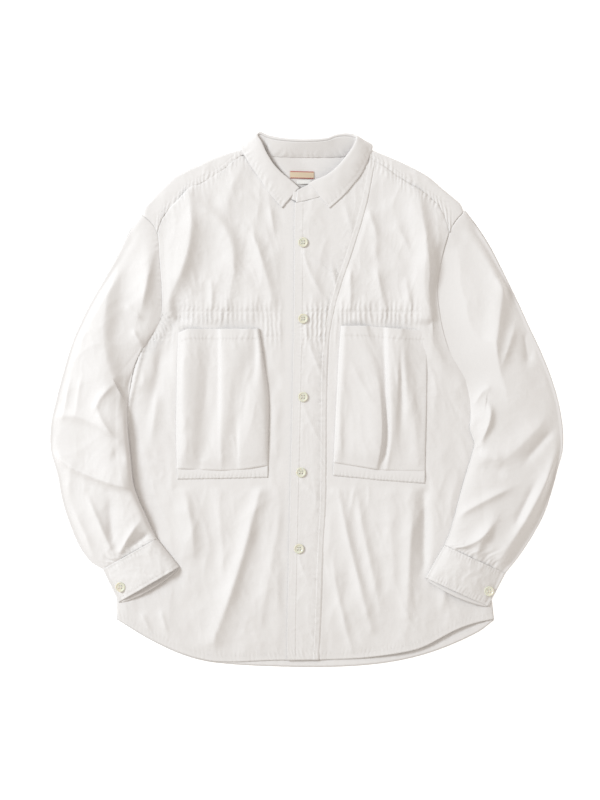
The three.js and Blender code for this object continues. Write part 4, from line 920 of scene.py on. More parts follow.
flap_x, flap_y = blended_patch(
    flap_free,
    flap_seam,
    front_hem_at,
    lambda x: np.interp(x, *zip(*right_top)) + SEAM_LAP * soft_step(x, 84, 90) - SEAM_GAP,
    (CENTRE_HEM, 295),
    (CENTRE_HEM, 356),
    np.concatenate([spaced(0, 0.28, 0.011), spaced(0.28, 0.8, 0.019)[1:], spaced(0.8, 1, 0.0075)[1:]]),
    rows_with_dense_bands(-392, 330, 2.5, [(78, 160)]),
)
flap_z = flap_top(flap_x, flap_y)
sew_up(
    "front_flap_cloth",
    sheet_points(flap_x, flap_y, flap_z),
    sheet_points(flap_x, flap_y, flap_z - 1.1),
    ["front_flap"],
)
stitched(
    "front_flap_cloth",
    [
        upright(flap_free, -386, 292, 2),
        upright(flap_free, -378, 290, 11.8),
        upright(flap_seam, -386, 350, -2),
        upright(flap_seam, -378, 346, -8),
        level(front_hem_at, -16, 12, HEM_DEPTH),
        [(-4, UPPER_GATHER), (32, UPPER_GATHER)],
        [(-4, LOWER_GATHER), (26, LOWER_GATHER)],
    ],
)


# The yoke is one piece of poplin over both shoulders: flat on the table at the back, folded over
# at the shoulders, and sewn with two rows to the gathered tops of the fronts.
SHOULDER_TURN = 3.4
NECK_RISE = 7.5
NECK_BACK = [
    (-76, 366), (-57, 364), (-34.5, 363), (-1.5, 363), (30, 363), (48, 363.5), (62, 364.5), (76, 367)
]


def hermite_stations(table, counts):
    """Sections between the measured ones, on smooth curves through them."""
    table = np.array(table, float)
    places = np.arange(len(table))
    fine = np.concatenate(
        [np.linspace(k, k + 1, counts[k], endpoint=False) for k in range(len(table) - 1)] + [[len(table) - 1]]
    )
    flat = table.reshape(len(table), -1)
    columns = [through(places, flat[:, k])(fine) for k in range(flat.shape[1])]
    return np.stack(columns, axis=-1).reshape((len(fine),) + table.shape[1:])


def front_crest(x, y):
    return front_rest(x, y) + FRONT_WALL


def beside(points, off):
    """A plan line at a distance to the left of another."""
    points = evenly(points, 3)
    way = np.gradient(points, axis=0)
    way /= np.maximum(np.linalg.norm(way, axis=1, keepdims=True), 1e-9)
    return points + off * np.stack([-way[:, 1], way[:, 0]], axis=1)


def neck_rise(x, y):
    """How far the inside of the neck lifts towards the left fold of the collar."""
    inside = ((x + 70) * 75 + (y - 390) * 61) / 96.7
    return NECK_RISE * soft_step(inside, -13, -3) * (1 - soft_step(inside, -3, 34)) * soft_step(y, 298, 332)


def yoke_wing_section(row, at_armhole, edge):
    """Plan places from the back seam over the shoulder fold to the front seam, with a height share:
    0 on the table, 1 on the front, and the turn's angle between them."""
    back_x, fold_x, fold_y, seam_x, seam_y = row
    away = np.array([fold_x - seam_x, fold_y - seam_y], float)
    away /= np.linalg.norm(away)
    near = np.array([fold_x, fold_y]) - away * SHOULDER_TURN
    start = BACK_YOKE_SEAM + SEAM_GAP / 2
    side = np.sign(fold_x)

    def place(from_x, from_y, to_x, to_y, share):
        y = mix(from_y, to_y, share)
        seam = edge(y) - side * 2 * SEAM_GAP * soft_step(y, 252, 266)
        return (seam if at_armhole else mix(from_x, to_x, share)), y

    back = [(*place(back_x, start, *near, share), 0.0) for share in np.linspace(0, 1, 22)]
    turn = []
    for angle in np.radians(np.linspace(-75, 75, 11)):
        out = SHOULDER_TURN * np.cos(angle)
        turn.append((near[0] + away[0] * out, near[1] + away[1] * out, 0.5 + 0.5 * np.sin(angle)))
    front = [(*place(*near, seam_x, seam_y, share), 1.0) for share in np.linspace(0, 1, 30)]
    return back + turn + front


def yoke_neck_section(x, neck_y):
    start = BACK_YOKE_SEAM + SEAM_GAP / 2
    back = [(x, y, 0.0) for y in np.linspace(start, neck_y - 1, 22)]
    rest = [(x, neck_y - 1 + 2.2 * share, 0.0) for share in np.linspace(0.03, 1, 41)]
    return back + rest


yoke_sections = [yoke_wing_section(row, k == 0, body_left) for k, row in enumerate(YOKE_LEFT)]
yoke_sections += [yoke_neck_section(x, y) for x, y in NECK_BACK]
yoke_sections += [
    yoke_wing_section(row, k == len(YOKE_RIGHT) - 1, body_right) for k, row in enumerate(YOKE_RIGHT)
]
yoke_counts = [
    max(int(abs(b[32][0] - a[32][0]) / 2.4) + 4, 5) for a, b in zip(yoke_sections, yoke_sections[1:])
]
yoke_grid = hermite_stations(yoke_sections, yoke_counts)
yoke_x, yoke_y = yoke_grid[..., 0], yoke_grid[..., 1]
yoke_high = np.clip(yoke_grid[..., 2], 0, 1)
yoke_seam_away = np.hypot(yoke_x - yoke_x[:, -1:], yoke_y - yoke_y[:, -1:])
yoke_plain = front_crest(yoke_x, yoke_y)
yoke_relief = washed(yoke_x, yoke_y, 140, 0.5, 1.6, 0.9) * soft_step(yoke_seam_away, 0, 12)
yoke_relief = yoke_relief + yoke_puckers(yoke_x, yoke_seam_away)
yoke_relief += 0.4 * (1 - soft_step(yoke_seam_away, 6.5, 8)) - 0.3 * (1 - soft_step(yoke_seam_away, 0, 1.5))
yoke_flat = yoke_high <= 0
risen = neck_rise(yoke_x, yoke_y)
outer_z = np.where(yoke_flat, risen, yoke_plain * yoke_high + np.where(yoke_high >= 1, yoke_relief, 0))
outer_yoke = sheet_points(yoke_x, yoke_y, outer_z)
normal = np.cross(np.gradient(outer_yoke, axis=0), np.gradient(outer_yoke, axis=1))
normal /= np.maximum(np.linalg.norm(normal, axis=2, keepdims=True), 1e-9)
middle_column = len(normal) // 5
toward_cloth = np.where(normal[middle_column, 5, 2] > 0, 1, -1)
inner_yoke = outer_yoke + normal * WALL * toward_cloth
inner_yoke[..., 2] = np.where(yoke_flat, WALL + risen, np.maximum(inner_yoke[..., 2], 0.05))
sew_up("yoke_cloth", outer_yoke, inner_yoke, ["yoke"])
yoke_left_seam = [row[3:] for row in YOKE_LEFT[:-1]]
yoke_right_seam = [row[3:] for row in YOKE_RIGHT[1:]]
stitched(
    "yoke_cloth",
    [beside(seam, off) for seam in (yoke_left_seam, yoke_right_seam) for off in (1.8, 7.5)],
    [[(-221, 252), (213, 252)], [(-221, 257.5), (214, 257.5)]],
)
laid_sheet("yoke_cloth")


# Each sleeve is a tube of the same poplin, set into the armhole and laid bent beside the body. Its
# two layers lie loosely on each other, and its lower end is gathered into the cuff.

# Outer fold x and y, inner fold x and y, the armhole's bow, how far it lies on the body, its height
SLEEVE_LEFT = [
    (-249, 279, -250, 72, 1, 0, 9),
    (-267, 249, -254, 62, 0.82, 0.7, 10),
    (-283, 216, -257, 50, 0.58, 1, 11),
    (-301, 184, -259.5, 37, 0.36, 1, 12),
    (-319, 153, -262, 24, 0.18, 1, 12),
    (-336, 120, -264, 10, 0.06, 1, 12),
    (-351, 85, -266, -4, 0, 1, 12),
    (-364, 42, -267, -22, 0, 1, 12),
    (-375, 0, -266, -45, 0, 1, 12),
    (-383, -39, -264, -65, 0, 1, 12),
    (-383, -75, -261, -94, 0, 1, 12),
    (-373, -111, -258, -123, 0, 1, 12),
    (-366, -148, -250, -148, 0, 1, 11.5),
    (-355, -184, -240, -170, 0, 1, 11),
    (-340, -219, -232, -188, 0, 1, 10.5),
    (-323, -242, -227, -198, 0, 1, 10),
    (-305, -253, -223, -206, 0, 1, 9.5),
]
SLEEVE_RIGHT = [
    (239, 284, 222, 60, 1, 0, 9),
    (258, 258, 228, 47, 0.84, 0, 10),
    (276, 230, 233, 33, 0.62, 0.04, 11),
    (291, 201, 238, 18, 0.4, 0.15, 12),
    (306, 171, 243, 3, 0.22, 0.36, 12),
    (321, 140, 246, -12, 0.08, 0.62, 12),
    (336, 107, 246, -27, 0, 0.85, 12),
    (353, 71, 245, -42, 0, 1, 12),
    (368, 33, 249, -56, 0, 1, 12),
    (379, -5, 252, -66, 0, 1, 12),
    (385, -42, 249, -78, 0, 1, 12),
    (385, -74, 243, -98, 0, 1, 12),
    (378, -102, 236, -121, 0, 1, 12),
    (369, -135, 228, -150, 0, 1, 11.5),
    (357, -171, 221, -177, 0, 1, 11),
    (338, -206, 215, -197, 0, 1, 10.5),
    (318, -236, 210, -209, 0, 1, 10),
    (299, -259, 207, -216, 0, 1, 9.5),
]
LEFT_SLEEVE_FOLDS = [
    (-279, 228, -302, 112, -288, 34, 46, 15, 6.2, 1.7, 0.4, 0.9),
    (-222, 243, -238, 171, -248, 129, 13, 7, 3.6, 1.5, 0.3, 0.1),
    (-272, 146, -258, 132, -240, 117, 6, 6, 1.8, 1.4, 0, 0),
    (-260, 108, -252, 93, -243, 80, 5, 5, 1.8, 1.4, 0, 0.2),
    (-381, -26, -330, -28, -279, -62, 11, 8, 3, 1.5, 0.6, 0.3),
    (-381, -80, -327, -111, -256, -132, 12, 6, 5.2, 1.35, 0.7, 0.7),
    (-285, 24, -303, 6, -312, -10, 8, 5, 2.4, 1.4, 0.3, 0.6),
    (-312, -10, -300, -36, -280, -60, 7, 6, 2.2, 1.4, 0.6, 0.2),
    (-330, -135, -308, -184, -286, -234, 8, 6, 3.2, 1.4, 0.1, 0.7),
    (-246, -180, -266, -207, -282, -240, 6, 7, 3.4, 1.4, 0.2, 0.7),
    (-354, -156, -333, -195, -320, -231, 7, 7, 2.2, 1.5, 0, 0.5),
    (-294, -138, -291, -180, -288, -222, 8, 8, -3, 1.8, 0.2, 0.2),
    (-352, 39, -358, 6, -364, -30, 4, 4, 1, 1.6, 0, 0.3),
    (-334, 44, -340, 8, -344, -21, 4, 4, 1, 1.6, 0, 0.3),
    (-267, -219, -249, -210, -224, -192, 6, 6, -2.6, 1.7, 0.1, 0.4),
    (-292, -80, -278, -84, -262, -90, 11, 9, -1.6, 1.8, 0.1, 0.5),
    (-318, -255, -303, -249, -288, -243, 4, 4, 1.6, 1.4, 0.2, 0.6),
    (-314, -270, -300, -266, -285, -258, 4, 4, 1.6, 1.4, 0.2, 0.6),
    (-348, -93, -354, -120, -354, -150, 8, 8, 1.2, 1.6, 0.2, 0.2),
]
RIGHT_SLEEVE_FOLDS = [
    (236, 268, 267, 225, 294, 170, 16, 8, 3.8, 1.4, 0.2, 0.8),
    (294, 170, 286, 105, 272, 15, 18, 11, 5.6, 1.5, 0.8, 0.5),
    (316, 120, 303, 81, 290, 42, 8, 7, 2.4, 1.5, 0.1, 0.1),
    (330, 105, 333, 75, 330, 45, 8, 8, -2.4, 1.8, 0.1, 0.1),
    (255, -2, 266, 14, 280, 18, 5, 4, 3, 1.4, 0.5, 0.2),
    (272, -4, 274, -30, 258, -68, 9, 5, 4, 1.4, 0.3, 0.5),
    (240, -60, 252, -69, 264, -75, 6, 6, -2.6, 1.7, 0.5, 0.2),
    (256, -78, 276, -86, 300, -88, 9, 8, 1.6, 1.6, 0.2, 0),
    (262, -92, 280, -104, 304, -112, 10, 9, -1.8, 1.8, 0.1, 0),
    (364, -20, 328, -60, 290, -93, 15, 11, 2.6, 1.6, 0.1, 0.2),
    (375, -38, 348, -69, 320, -100, 7, 7, -2, 1.7, 0.1, 0.1),
    (384, -64, 344, -150, 291, -236, 10, 11, 5, 1.5, 0.3, 0.5),
    (219, -178, 267, -150, 318, -126, 7, 6, 2.6, 1.5, 0.6, 0.1),
    (210, -218, 249, -213, 285, -178, 8, 5, 3.6, 1.4, 0.6, 0.2),
    (279, -178, 264, -207, 252, -234, 10, 8, 3, 1.5, 0.3, 0.8),
    (345, -120, 327, -159, 309, -195, 6, 6, -2.4, 1.7, 0.1, 0.1),
    (321, 195, 333, 150, 342, 105, 8, 8, 1.4, 1.6, 0, 0),
]


def sleeve_rest(x, y, over):
    """What a sleeve or cuff lies on: the table, or the body's front where it laps over it."""
    inward = np.minimum(x - body_left(y), body_right(y) - x)
    return soft_step(inward, -62, -8) * over * (front_crest(x, y) + 2 * SEAM_GAP)


def tube_profile(across, outer=(2.0, 1.0), inner=(2.6, 0.75)):
    """Height of a laid tube's upper face across it: a softer or a sharper fall at either fold."""
    side = 2 * across - 1
    power, form = np.where(side < 0, outer[0], inner[0]), np.where(side < 0, outer[1], inner[1])
    return np.clip(1 - np.abs(side) ** power, 0, 1) ** form


SLEEVE_FOLD_SHARE = 1.9


def sleeve(name, node, sections, folds, side, seed):
    edge = body_left if side < 0 else body_right
    counts = [int(np.hypot(b[0] - a[0], b[1] - a[1]) / 2.4) + 2 for a, b in zip(sections, sections[1:])]
    fine = hermite_stations(sections, counts)
    fine = np.concatenate([fine[:1], fine, fine[-1:]])
    fine[-1, :4] += (fine[-1, :4] - fine[-3, :4]) * 1.0
    outer_x, outer_y, inner_x, inner_y, bow, over, height = [column[:, None] for column in fine.T]
    tucked = np.zeros((len(fine), 1))
    tucked[0] = 1
    in_cuff = np.zeros((len(fine), 1))
    in_cuff[-1] = 1
    even_share = np.linspace(0, 1, 84)
    top_share = mix(even_share, 0.5 - 0.5 * np.cos(np.pi * even_share), 0.35)
    low_share = np.linspace(1, 0, 18)[1:-1]
    first = sections[0]

    def plan(across):
        y0 = mix(first[1], first[3], across)
        bend = edge(y0) + side * SEAM_GAP - mix(first[0], first[2], across)
        tuck = -side * 2.2 * tucked
        return mix(outer_x, inner_x, across) + bow * bend + tuck, mix(outer_y, inner_y, across)

    middle_x, middle_y = outer_x[:, 0] + inner_x[:, 0], outer_y[:, 0] + inner_y[:, 0]
    along = np.cumsum(np.hypot(np.gradient(middle_x) / 2, np.gradient(middle_y) / 2))
    along = (along - along[0])[:, None]
    width = np.hypot(outer_x - inner_x, outer_y - inner_y)
    from_cuff = along[-1] - along

    def upper(across):
        x, y = plan(across)
        rest = sleeve_rest(x, y, over)
        edge_off = np.minimum(across, 1 - across) * width
        inside = soft_step(edge_off, 1, 16)
        loose = soft_step(along, 2, 26) * soft_step(from_cuff, -2, 16)
        if side < 0:
            under_arm = soft_step(inner_y, -50, 20)
            swell = 0.65 * soft_step(across, 0.4, 0.8) * soft_step(from_cuff, 0, 60)
            puffed = tube_profile(across, inner=(16, 0.5)) * (1 + swell)
            gentle = 0.72 * tube_profile(across, inner=(1.35, 1.0))
            tube = height * mix(puffed, gentle, under_arm)
            sink = 0.6
        else:
            tube = height * tube_profile(across, inner=(3.2, 0.8))
            sink = 0.3 + armhole_fall(y)
        cap_height = front_crest(edge(y) - side * 4, y) - sink
        cap_height = cap_height * np.clip(edge_off / 4, 0, 1) ** 0.5
        tube = mix(cap_height, tube, soft_step(along, 0, 30))
        relief = SLEEVE_FOLD_SHARE * fold_field(x, y, folds) * inside * mix(0.25, 1, loose)
        crinkles = washed(x, y, seed, side * 0.6, 1.9, 0.75)
        relief = relief + crinkles * (0.25 + 0.75 * inside) * mix(0.4, 1, loose)
        relief = relief + 1.5 * ripple_noise(x / 45, y / 70, seed + 30) * inside * loose
        cuff_gathers = hem_ripples(across * width, from_cuff, 7.2, 9, 0.8, seed + 4)
        cuff_gathers += hem_ripples(across * width, from_cuff, 15, 22, 1.0, seed + 6)
        cuff_gathers = cuff_gathers * mix(0.3, 1, soft_step(from_cuff, 0, 7))
        cap = hem_ripples(along * 0 + y, along, 7.5, 9, 0.45, seed + 8)
        rise = relief + cuff_gathers * inside + cap * inside
        top = np.maximum(rest + tube + rise, rest + 2 * WALL + 0.4)
        if side > 0:
            covered = soft_step(y, -35, 45) * (1 - soft_step(y, 238, 252))
            beyond = np.maximum(x - body_right(y) - 0.5, 0)
            room = front_rest(body_right(y), y) + 0.9 - armhole_fall(y) + 0.04 * beyond + beyond**2 / 290
            top = mix(top, np.minimum(top, np.maximum(room, 2 * WALL + 0.3)), covered)
        under_body = np.maximum(front_rest(edge(y) - side * 2, y) - 0.3, 1.0)
        return x, y, mix(mix(top, np.minimum(top, under_body), tucked), top - 0.7, in_cuff)

    def lower(across):
        x, y = plan(across)
        return x, y, sleeve_rest(x, y, over)

    inset = 1.1 * WALL / width
    top_in = inset + (1 - 2 * inset) * top_share
    low_in = inset + (1 - 2 * inset) * low_share
    outer_top = sheet_points(*upper(top_share[None, :]))
    outer_low = sheet_points(*lower(low_share[None, :]))
    nose = outer_top[:, [0, -1]].copy()
    rest = np.stack([sleeve_rest(nose[:, k, 0], nose[:, k, 1], over[:, 0]) for k in (0, 1)], axis=1)
    outer_top[:, [0, -1], 2] = rest + WALL + 0.35
    inner_top = sheet_points(*upper(top_in))
    inner_top[..., 2] -= WALL
    inner_top[:, [0, -1], 2] = rest + WALL + 0.4
    inner_low = sheet_points(*lower(low_in))
    inner_low[..., 2] += WALL
    sew_up(
        name,
        np.concatenate([outer_top, outer_low], axis=1),
        np.concatenate([inner_top, inner_low], axis=1),
        [node, f"{node}_under"],
        ring=True,
    )


sleeve("left_sleeve", "sleeve_left", SLEEVE_LEFT, LEFT_SLEEVE_FOLDS, -1, 160)
sleeve("right_sleeve", "sleeve_right", SLEEVE_RIGHT, RIGHT_SLEEVE_FOLDS, 1, 180)
laid_sheet("left_sleeve")
laid_sheet("right_sleeve")


# The cuffs: two layers of cotton sewn into a band round the sleeve's end, topstitched near both
# edges, and closed with one button.
CUFF_HEIGHT = 11
CUFF_WALL = 1.2

# Corners by name: outer and inner at the sleeve seam, then outer and inner at the mouth
CUFFS = {
    "left": ((-305, -253), (-223, -206), (-280.5, -303), (-189, -249)),
    "right": ((299, -259), (207, -216), (273, -309), (178.5, -265.5)),
}

# How far the lower layer shows past the upper one at the mouth
CUFF_LIP = {"left": 8.0, "right": 7.0}


def cuff_plan(hand, along, across):
    seam_outer, seam_inner, mouth_outer, mouth_inner = CUFFS[hand]
    outer = [mix(seam_outer[k], mouth_outer[k], along) for k in (0, 1)]
    inner = [mix(seam_inner[k], mouth_inner[k], along) for k in (0, 1)]
    return mix(outer[0], inner[0], across), mix(outer[1], inner[1], across)


def cuff(hand, seed):
    seam_outer, seam_inner, mouth_outer = CUFFS[hand][:3]
    width = np.hypot(seam_outer[0] - seam_inner[0], seam_outer[1] - seam_inner[1])
    length = np.hypot(seam_outer[0] - mouth_outer[0], seam_outer[1] - mouth_outer[1])
    along = np.linspace(1.5 * SEAM_GAP / length, 1, 34)[:, None]
    top_share = np.linspace(0, 1, 74)[None, :]
    low_share = np.linspace(1, 0, 30)[None, 1:-1]
    inset = CUFF_WALL / width

    def upper(across):
        x, y = cuff_plan(hand, along, across)
        away = along * length
        edge_off = np.minimum(across, 1 - across) * width
        inside = soft_step(edge_off, 1, 10)
        relief = washed(x, y, seed, 0.4, 1.4, 1.2) + washed(x * 2.1, y * 2.1, seed + 1, 0.9, 1.3, 0.7)
        relief = relief * inside
        relief = relief + hem_ripples(across * width, away - 4, 4.6, 5, 0.5, seed + 3) * inside
        relief = relief + hem_ripples(across * width, length - away - 5, 4.4, 5, 0.5, seed + 5) * inside
        relief -= 0.35 * np.exp(-((away - 4) / 0.9) ** 2) + 0.35 * np.exp(-((length - away - 5) / 0.9) ** 2)
        shape = tube_profile(across, inner=(7, 0.6) if hand == "left" else (3, 0.8))
        shape = shape * (1 if hand == "left" else 1 - 0.25 * soft_step(along, 0.5, 1))
        return x, y, sleeve_rest(x, y, 1) + np.maximum(CUFF_HEIGHT * shape + relief, 2 * CUFF_WALL + 0.4)

    def lower(across):
        middle = np.sin(np.pi * across) ** 0.6 * soft_step(along, 0.8, 1)
        lift = (3.6 if hand == "left" else 5.2) * soft_step(along, 0.6, 1) * np.sin(np.pi * across)
        x, y = cuff_plan(hand, along + CUFF_LIP[hand] / length * middle, across)
        return x, y, sleeve_rest(x, y, 1) + lift

    outer_top, outer_low = sheet_points(*upper(top_share)), sheet_points(*lower(low_share))
    inner_top = sheet_points(*upper(mix(inset, 1 - inset, top_share)))
    inner_low = sheet_points(*lower(mix(inset, 1 - inset, low_share)))
    inner_top[..., 2] -= CUFF_WALL
    inner_low[..., 2] += CUFF_WALL
    for column in (0, -1):
        rest = sleeve_rest(outer_top[:, column, 0], outer_top[:, column, 1], 1)
        outer_top[:, column, 2] = rest + CUFF_WALL + 0.2
        inner_top[:, column, 2] = rest + CUFF_WALL + 0.25
    sew_up(
        f"{hand}_cuff",
        np.concatenate([outer_top, outer_low], axis=1),
        np.concatenate([inner_top, inner_low], axis=1),
        [f"cuff_{hand}"],
        ring=True,
    )
    ends = np.linspace(0.02, 0.98, 30)
    band = [np.stack(cuff_plan(hand, sewn_at, ends), axis=1) for sewn_at in (0.07, 0.9)]
    stitched(f"{hand}_cuff", band, band)


cuff("left", 200)
cuff("right", 210)


# The collar: a stand sewn round the neck and a leaf that folds down over it, both of two layers.
# It lies open, so its inside shows at the back and the leaf spreads on both fronts.
COLLAR_WALL = 1.4

# Neck seam x and y, fold x, y and z, leaf edge x and y, and how far the leaf hangs behind the stand
COLLAR = [
    (-7.5, 294, -9, 315, 16, -36, 287, 0),
    (-24, 301, -24, 328, 18, -46.5, 299, 0),
    (-40.5, 311, -37.5, 339, 20, -57, 312, 0),
    (-55.5, 323, -49.5, 352, 22, -69, 330, 0),
    (-69, 340, -60, 369, 23, -82, 349, 0),
    (-81, 356, -67, 384, 22, -91, 364, 0),
    (-88, 368, -73, 394, 20, -98, 380, 0.3),
    (-76, 366, -68, 397, 18, -84, 386, 1),
    (-57, 364, -56, 392, 18, -63, 377, 1),
    (-34.5, 363, -35, 388, 19, -36, 372, 1),
    (-1.5, 363, -2, 386, 20, -2, 370, 1),
    (30, 363, 29.5, 388, 19, 31, 372, 1),
    (48, 363.5, 44, 393, 18, 48, 375, 1),
    (62, 364.5, 58, 395, 18, 66, 380, 1),
    (76, 367, 71, 393, 18, 84, 386, 1),
    (86, 369, 76, 389, 20, 99, 381, 0.3),
    (82.5, 356, 70, 376, 22, 94, 363, 0),
    (72, 339, 58.5, 360, 23, 84, 340, 0),
    (57, 324, 45, 345, 22, 72, 324, 0),
    (40.5, 313, 30, 334, 20, 58.5, 308, 0),
    (22.5, 304, 15, 328, 18, 45, 295, 0),
    (4.5, 299, 3, 322, 16, 35, 286.5, 0),
]
collar_counts = [
    max(int(max(np.hypot(b[2] - a[2], b[3] - a[3]), np.hypot(b[5] - a[5], b[6] - a[6])) / 2.0), 5)
    for a, b in zip(COLLAR, COLLAR[1:])
]
collar = hermite_stations(COLLAR, collar_counts)
collar[:, 4] *= mix(np.where(collar[:, 0] < 0, 0.64, 0.72), 0.6, collar[:, 7])
seam_x, seam_y, fold_x, fold_y, fold_z, edge_x, edge_y, behind = collar.T
behind = np.clip(behind, 0, 1)
flap_lap = FLAP_LIFT * (1 - soft_step(seam_x, *FLAP_BLEND)) * (seam_x > -20)
front_z = front_crest(seam_x, seam_y) + flap_lap + COLLAR_WALL * 0.3
seam_z = mix(front_z, 0.5 + neck_rise(seam_x, seam_y), behind)
seam_line = np.stack([seam_x, seam_y, seam_z], axis=-1)
fold_line = np.stack([fold_x, fold_y, fold_z], axis=-1)
edge_lift = front_crest(edge_x, edge_y) + FLAP_LIFT * (1 - soft_step(edge_x, *FLAP_BLEND)) * (edge_x > -30)
edge_z = mix(edge_lift + SEAM_GAP + COLLAR_WALL * 0.8, COLLAR_WALL / 2, behind)
edge_line = np.stack([edge_x, edge_y, edge_z], axis=-1)
collar_along = np.concatenate([[0], np.cumsum(np.linalg.norm(np.diff(fold_line, axis=0), axis=1))])[:, None]


def surface_normals(points):
    normal = np.cross(np.gradient(points, axis=0), np.gradient(points, axis=1))
    return normal / np.maximum(np.linalg.norm(normal, axis=2, keepdims=True), 1e-9)


def collar_piece(name, node, points, relief, thickness=1.0):
    normal = surface_normals(points)
    middle = points + normal * relief[..., None]
    half_wall = normal * thickness * COLLAR_WALL / 2
    outer, inner = middle + half_wall, middle - half_wall
    sink = np.maximum(0.02 - np.minimum(outer[..., 2], inner[..., 2]), 0)
    outer[..., 2] += sink
    inner[..., 2] += sink
    sew_up(name, outer, inner, [node])


# The stand's right end laps over its left one in front, above the flap
lap_steps = np.linspace(0, 1, 11)[1:, None]
lap_seam = np.array([-15.5, 294.5, seam_z[-1] + 0.4])
lap_fold = np.array([-13.0, 314.0, seam_z[-1] + 1.0])
stand_seam = np.concatenate([seam_line, mix(seam_line[-1], lap_seam, lap_steps)])
stand_fold = np.concatenate([fold_line, mix(fold_line[-1], lap_fold, lap_steps)])
stand_share = np.linspace(0, 1, 15)[None, :, None]
stand_length = np.linalg.norm(stand_fold - stand_seam, axis=1)[:, None, None]
stand_points = mix(stand_seam[:, None], stand_fold[:, None], stand_share * (1 - 0.4 / stand_length))
stand_up = (stand_share * stand_length)[..., 0]
stand_along = np.concatenate([collar_along, collar_along[-1] + lap_steps * 20])
stand_relief = hem_ripples(stand_along, stand_up - 6, 11, 6, 0.4, 220)
stand_thickness = mix(0.25, 1, soft_step(stand_up, 0, 7))[..., None]
collar_piece("collar_stand_cloth", "collar_stand", stand_points, stand_relief, stand_thickness)

rising = fold_line - seam_line
rising = rising / np.linalg.norm(rising, axis=1, keepdims=True) * 6 + np.array([0, 0, 3])
front_turn = mix(edge_line, fold_line, 0.45)
ends = np.minimum(collar_along[:, 0], collar_along[-1, 0] - collar_along[:, 0])
front_turn[:, 2] = fold_z + mix(0.2, 1.6, soft_step(ends, 0, 45))
back_turn = np.stack([fold_x, fold_y + 8, np.full(len(fold_x), -4.0)], axis=-1)
turn_line = mix(front_turn, back_turn, behind[:, None])
t = np.linspace(0, 1, 36)[None, :, None]
leaf_points = (
    (1 - t) ** 3 * fold_line[:, None]
    + 3 * (1 - t) ** 2 * t * (fold_line + rising)[:, None]
    + 3 * (1 - t) * t**2 * turn_line[:, None]
    + t**3 * edge_line[:, None]
)
leaf_points[..., 2] = np.maximum(leaf_points[..., 2], COLLAR_WALL / 2)
leaf_steps = np.linalg.norm(np.diff(leaf_points, axis=1), axis=2)
from_fold = np.concatenate([np.zeros((len(leaf_points), 1)), np.cumsum(leaf_steps, axis=1)], axis=1)
from_edge = from_fold[:, -1:] - from_fold
leaf_relief = hem_ripples(collar_along, from_edge - 6, 7.5, 6, 0.55, 230)
leaf_swell = 0.8 * ripple_noise(leaf_points[..., 0] / 17, leaf_points[..., 1] / 17, 233)
leaf_relief += leaf_swell * soft_step(from_fold, 4, 14)
leaf_relief -= 0.3 * np.exp(-((from_edge - 6) / 0.9) ** 2)
collar_piece("collar_leaf_cloth", "collar_leaf", leaf_points, leaf_relief)
leaf_line = np.array(
    [[np.interp(6, row[::-1], place[::-1, k]) for k in (0, 1)] for row, place in zip(from_edge, leaf_points)]
)
in_front = behind < 0.3
half = len(behind) // 2
stitched(
    "collar_leaf_cloth",
    [leaf_line[:half][in_front[:half]], leaf_line[half:][in_front[half:]]],
    [leaf_line[behind > 0.9]],
)
stand_line = np.array(
    [[np.interp(4, up, place[:, k]) for k in (0, 1)] for up, place in zip(stand_up, stand_points)]
)
stitched("collar_stand_cloth", [stand_line[: len(behind)][behind > 0.9]])
laid_sheet("collar_stand_cloth")
laid_sheet("collar_leaf_cloth")


# The bellows pockets: a bag on each front that stands off it on a folded gusset, so that it can
# spread. It is pleated down its length and hemmed at its open top, and the gusset shows below it.
POCKET_WALL = 1.0
pocket_top_edge = {
    "left": lambda x: np.interp(x, (-200, -176, -50), (98, 106.5, 106.5)),
    "right": lambda x: np.interp(x, (40, 92, 133, 190), (111, 111, 107, 104)),
}
pocket_bottom_edge = {
    "left": lambda x: np.interp(x, (-200, -120, -85, -50), (-103, -106, -103, -97)),
    "right": lambda x: np.interp(x, (30, 110, 190), (-92, -105, -107)),
}
strip_edge = {
    "left": lambda x: np.interp(x, (-200, -50), (-119, -116)),
    "right": lambda x: np.interp(x, (30, 110, 190), (-112, -120, -126)),
}


def pocket_floor(x, y):
    return front_crest(x, y) + 0.5


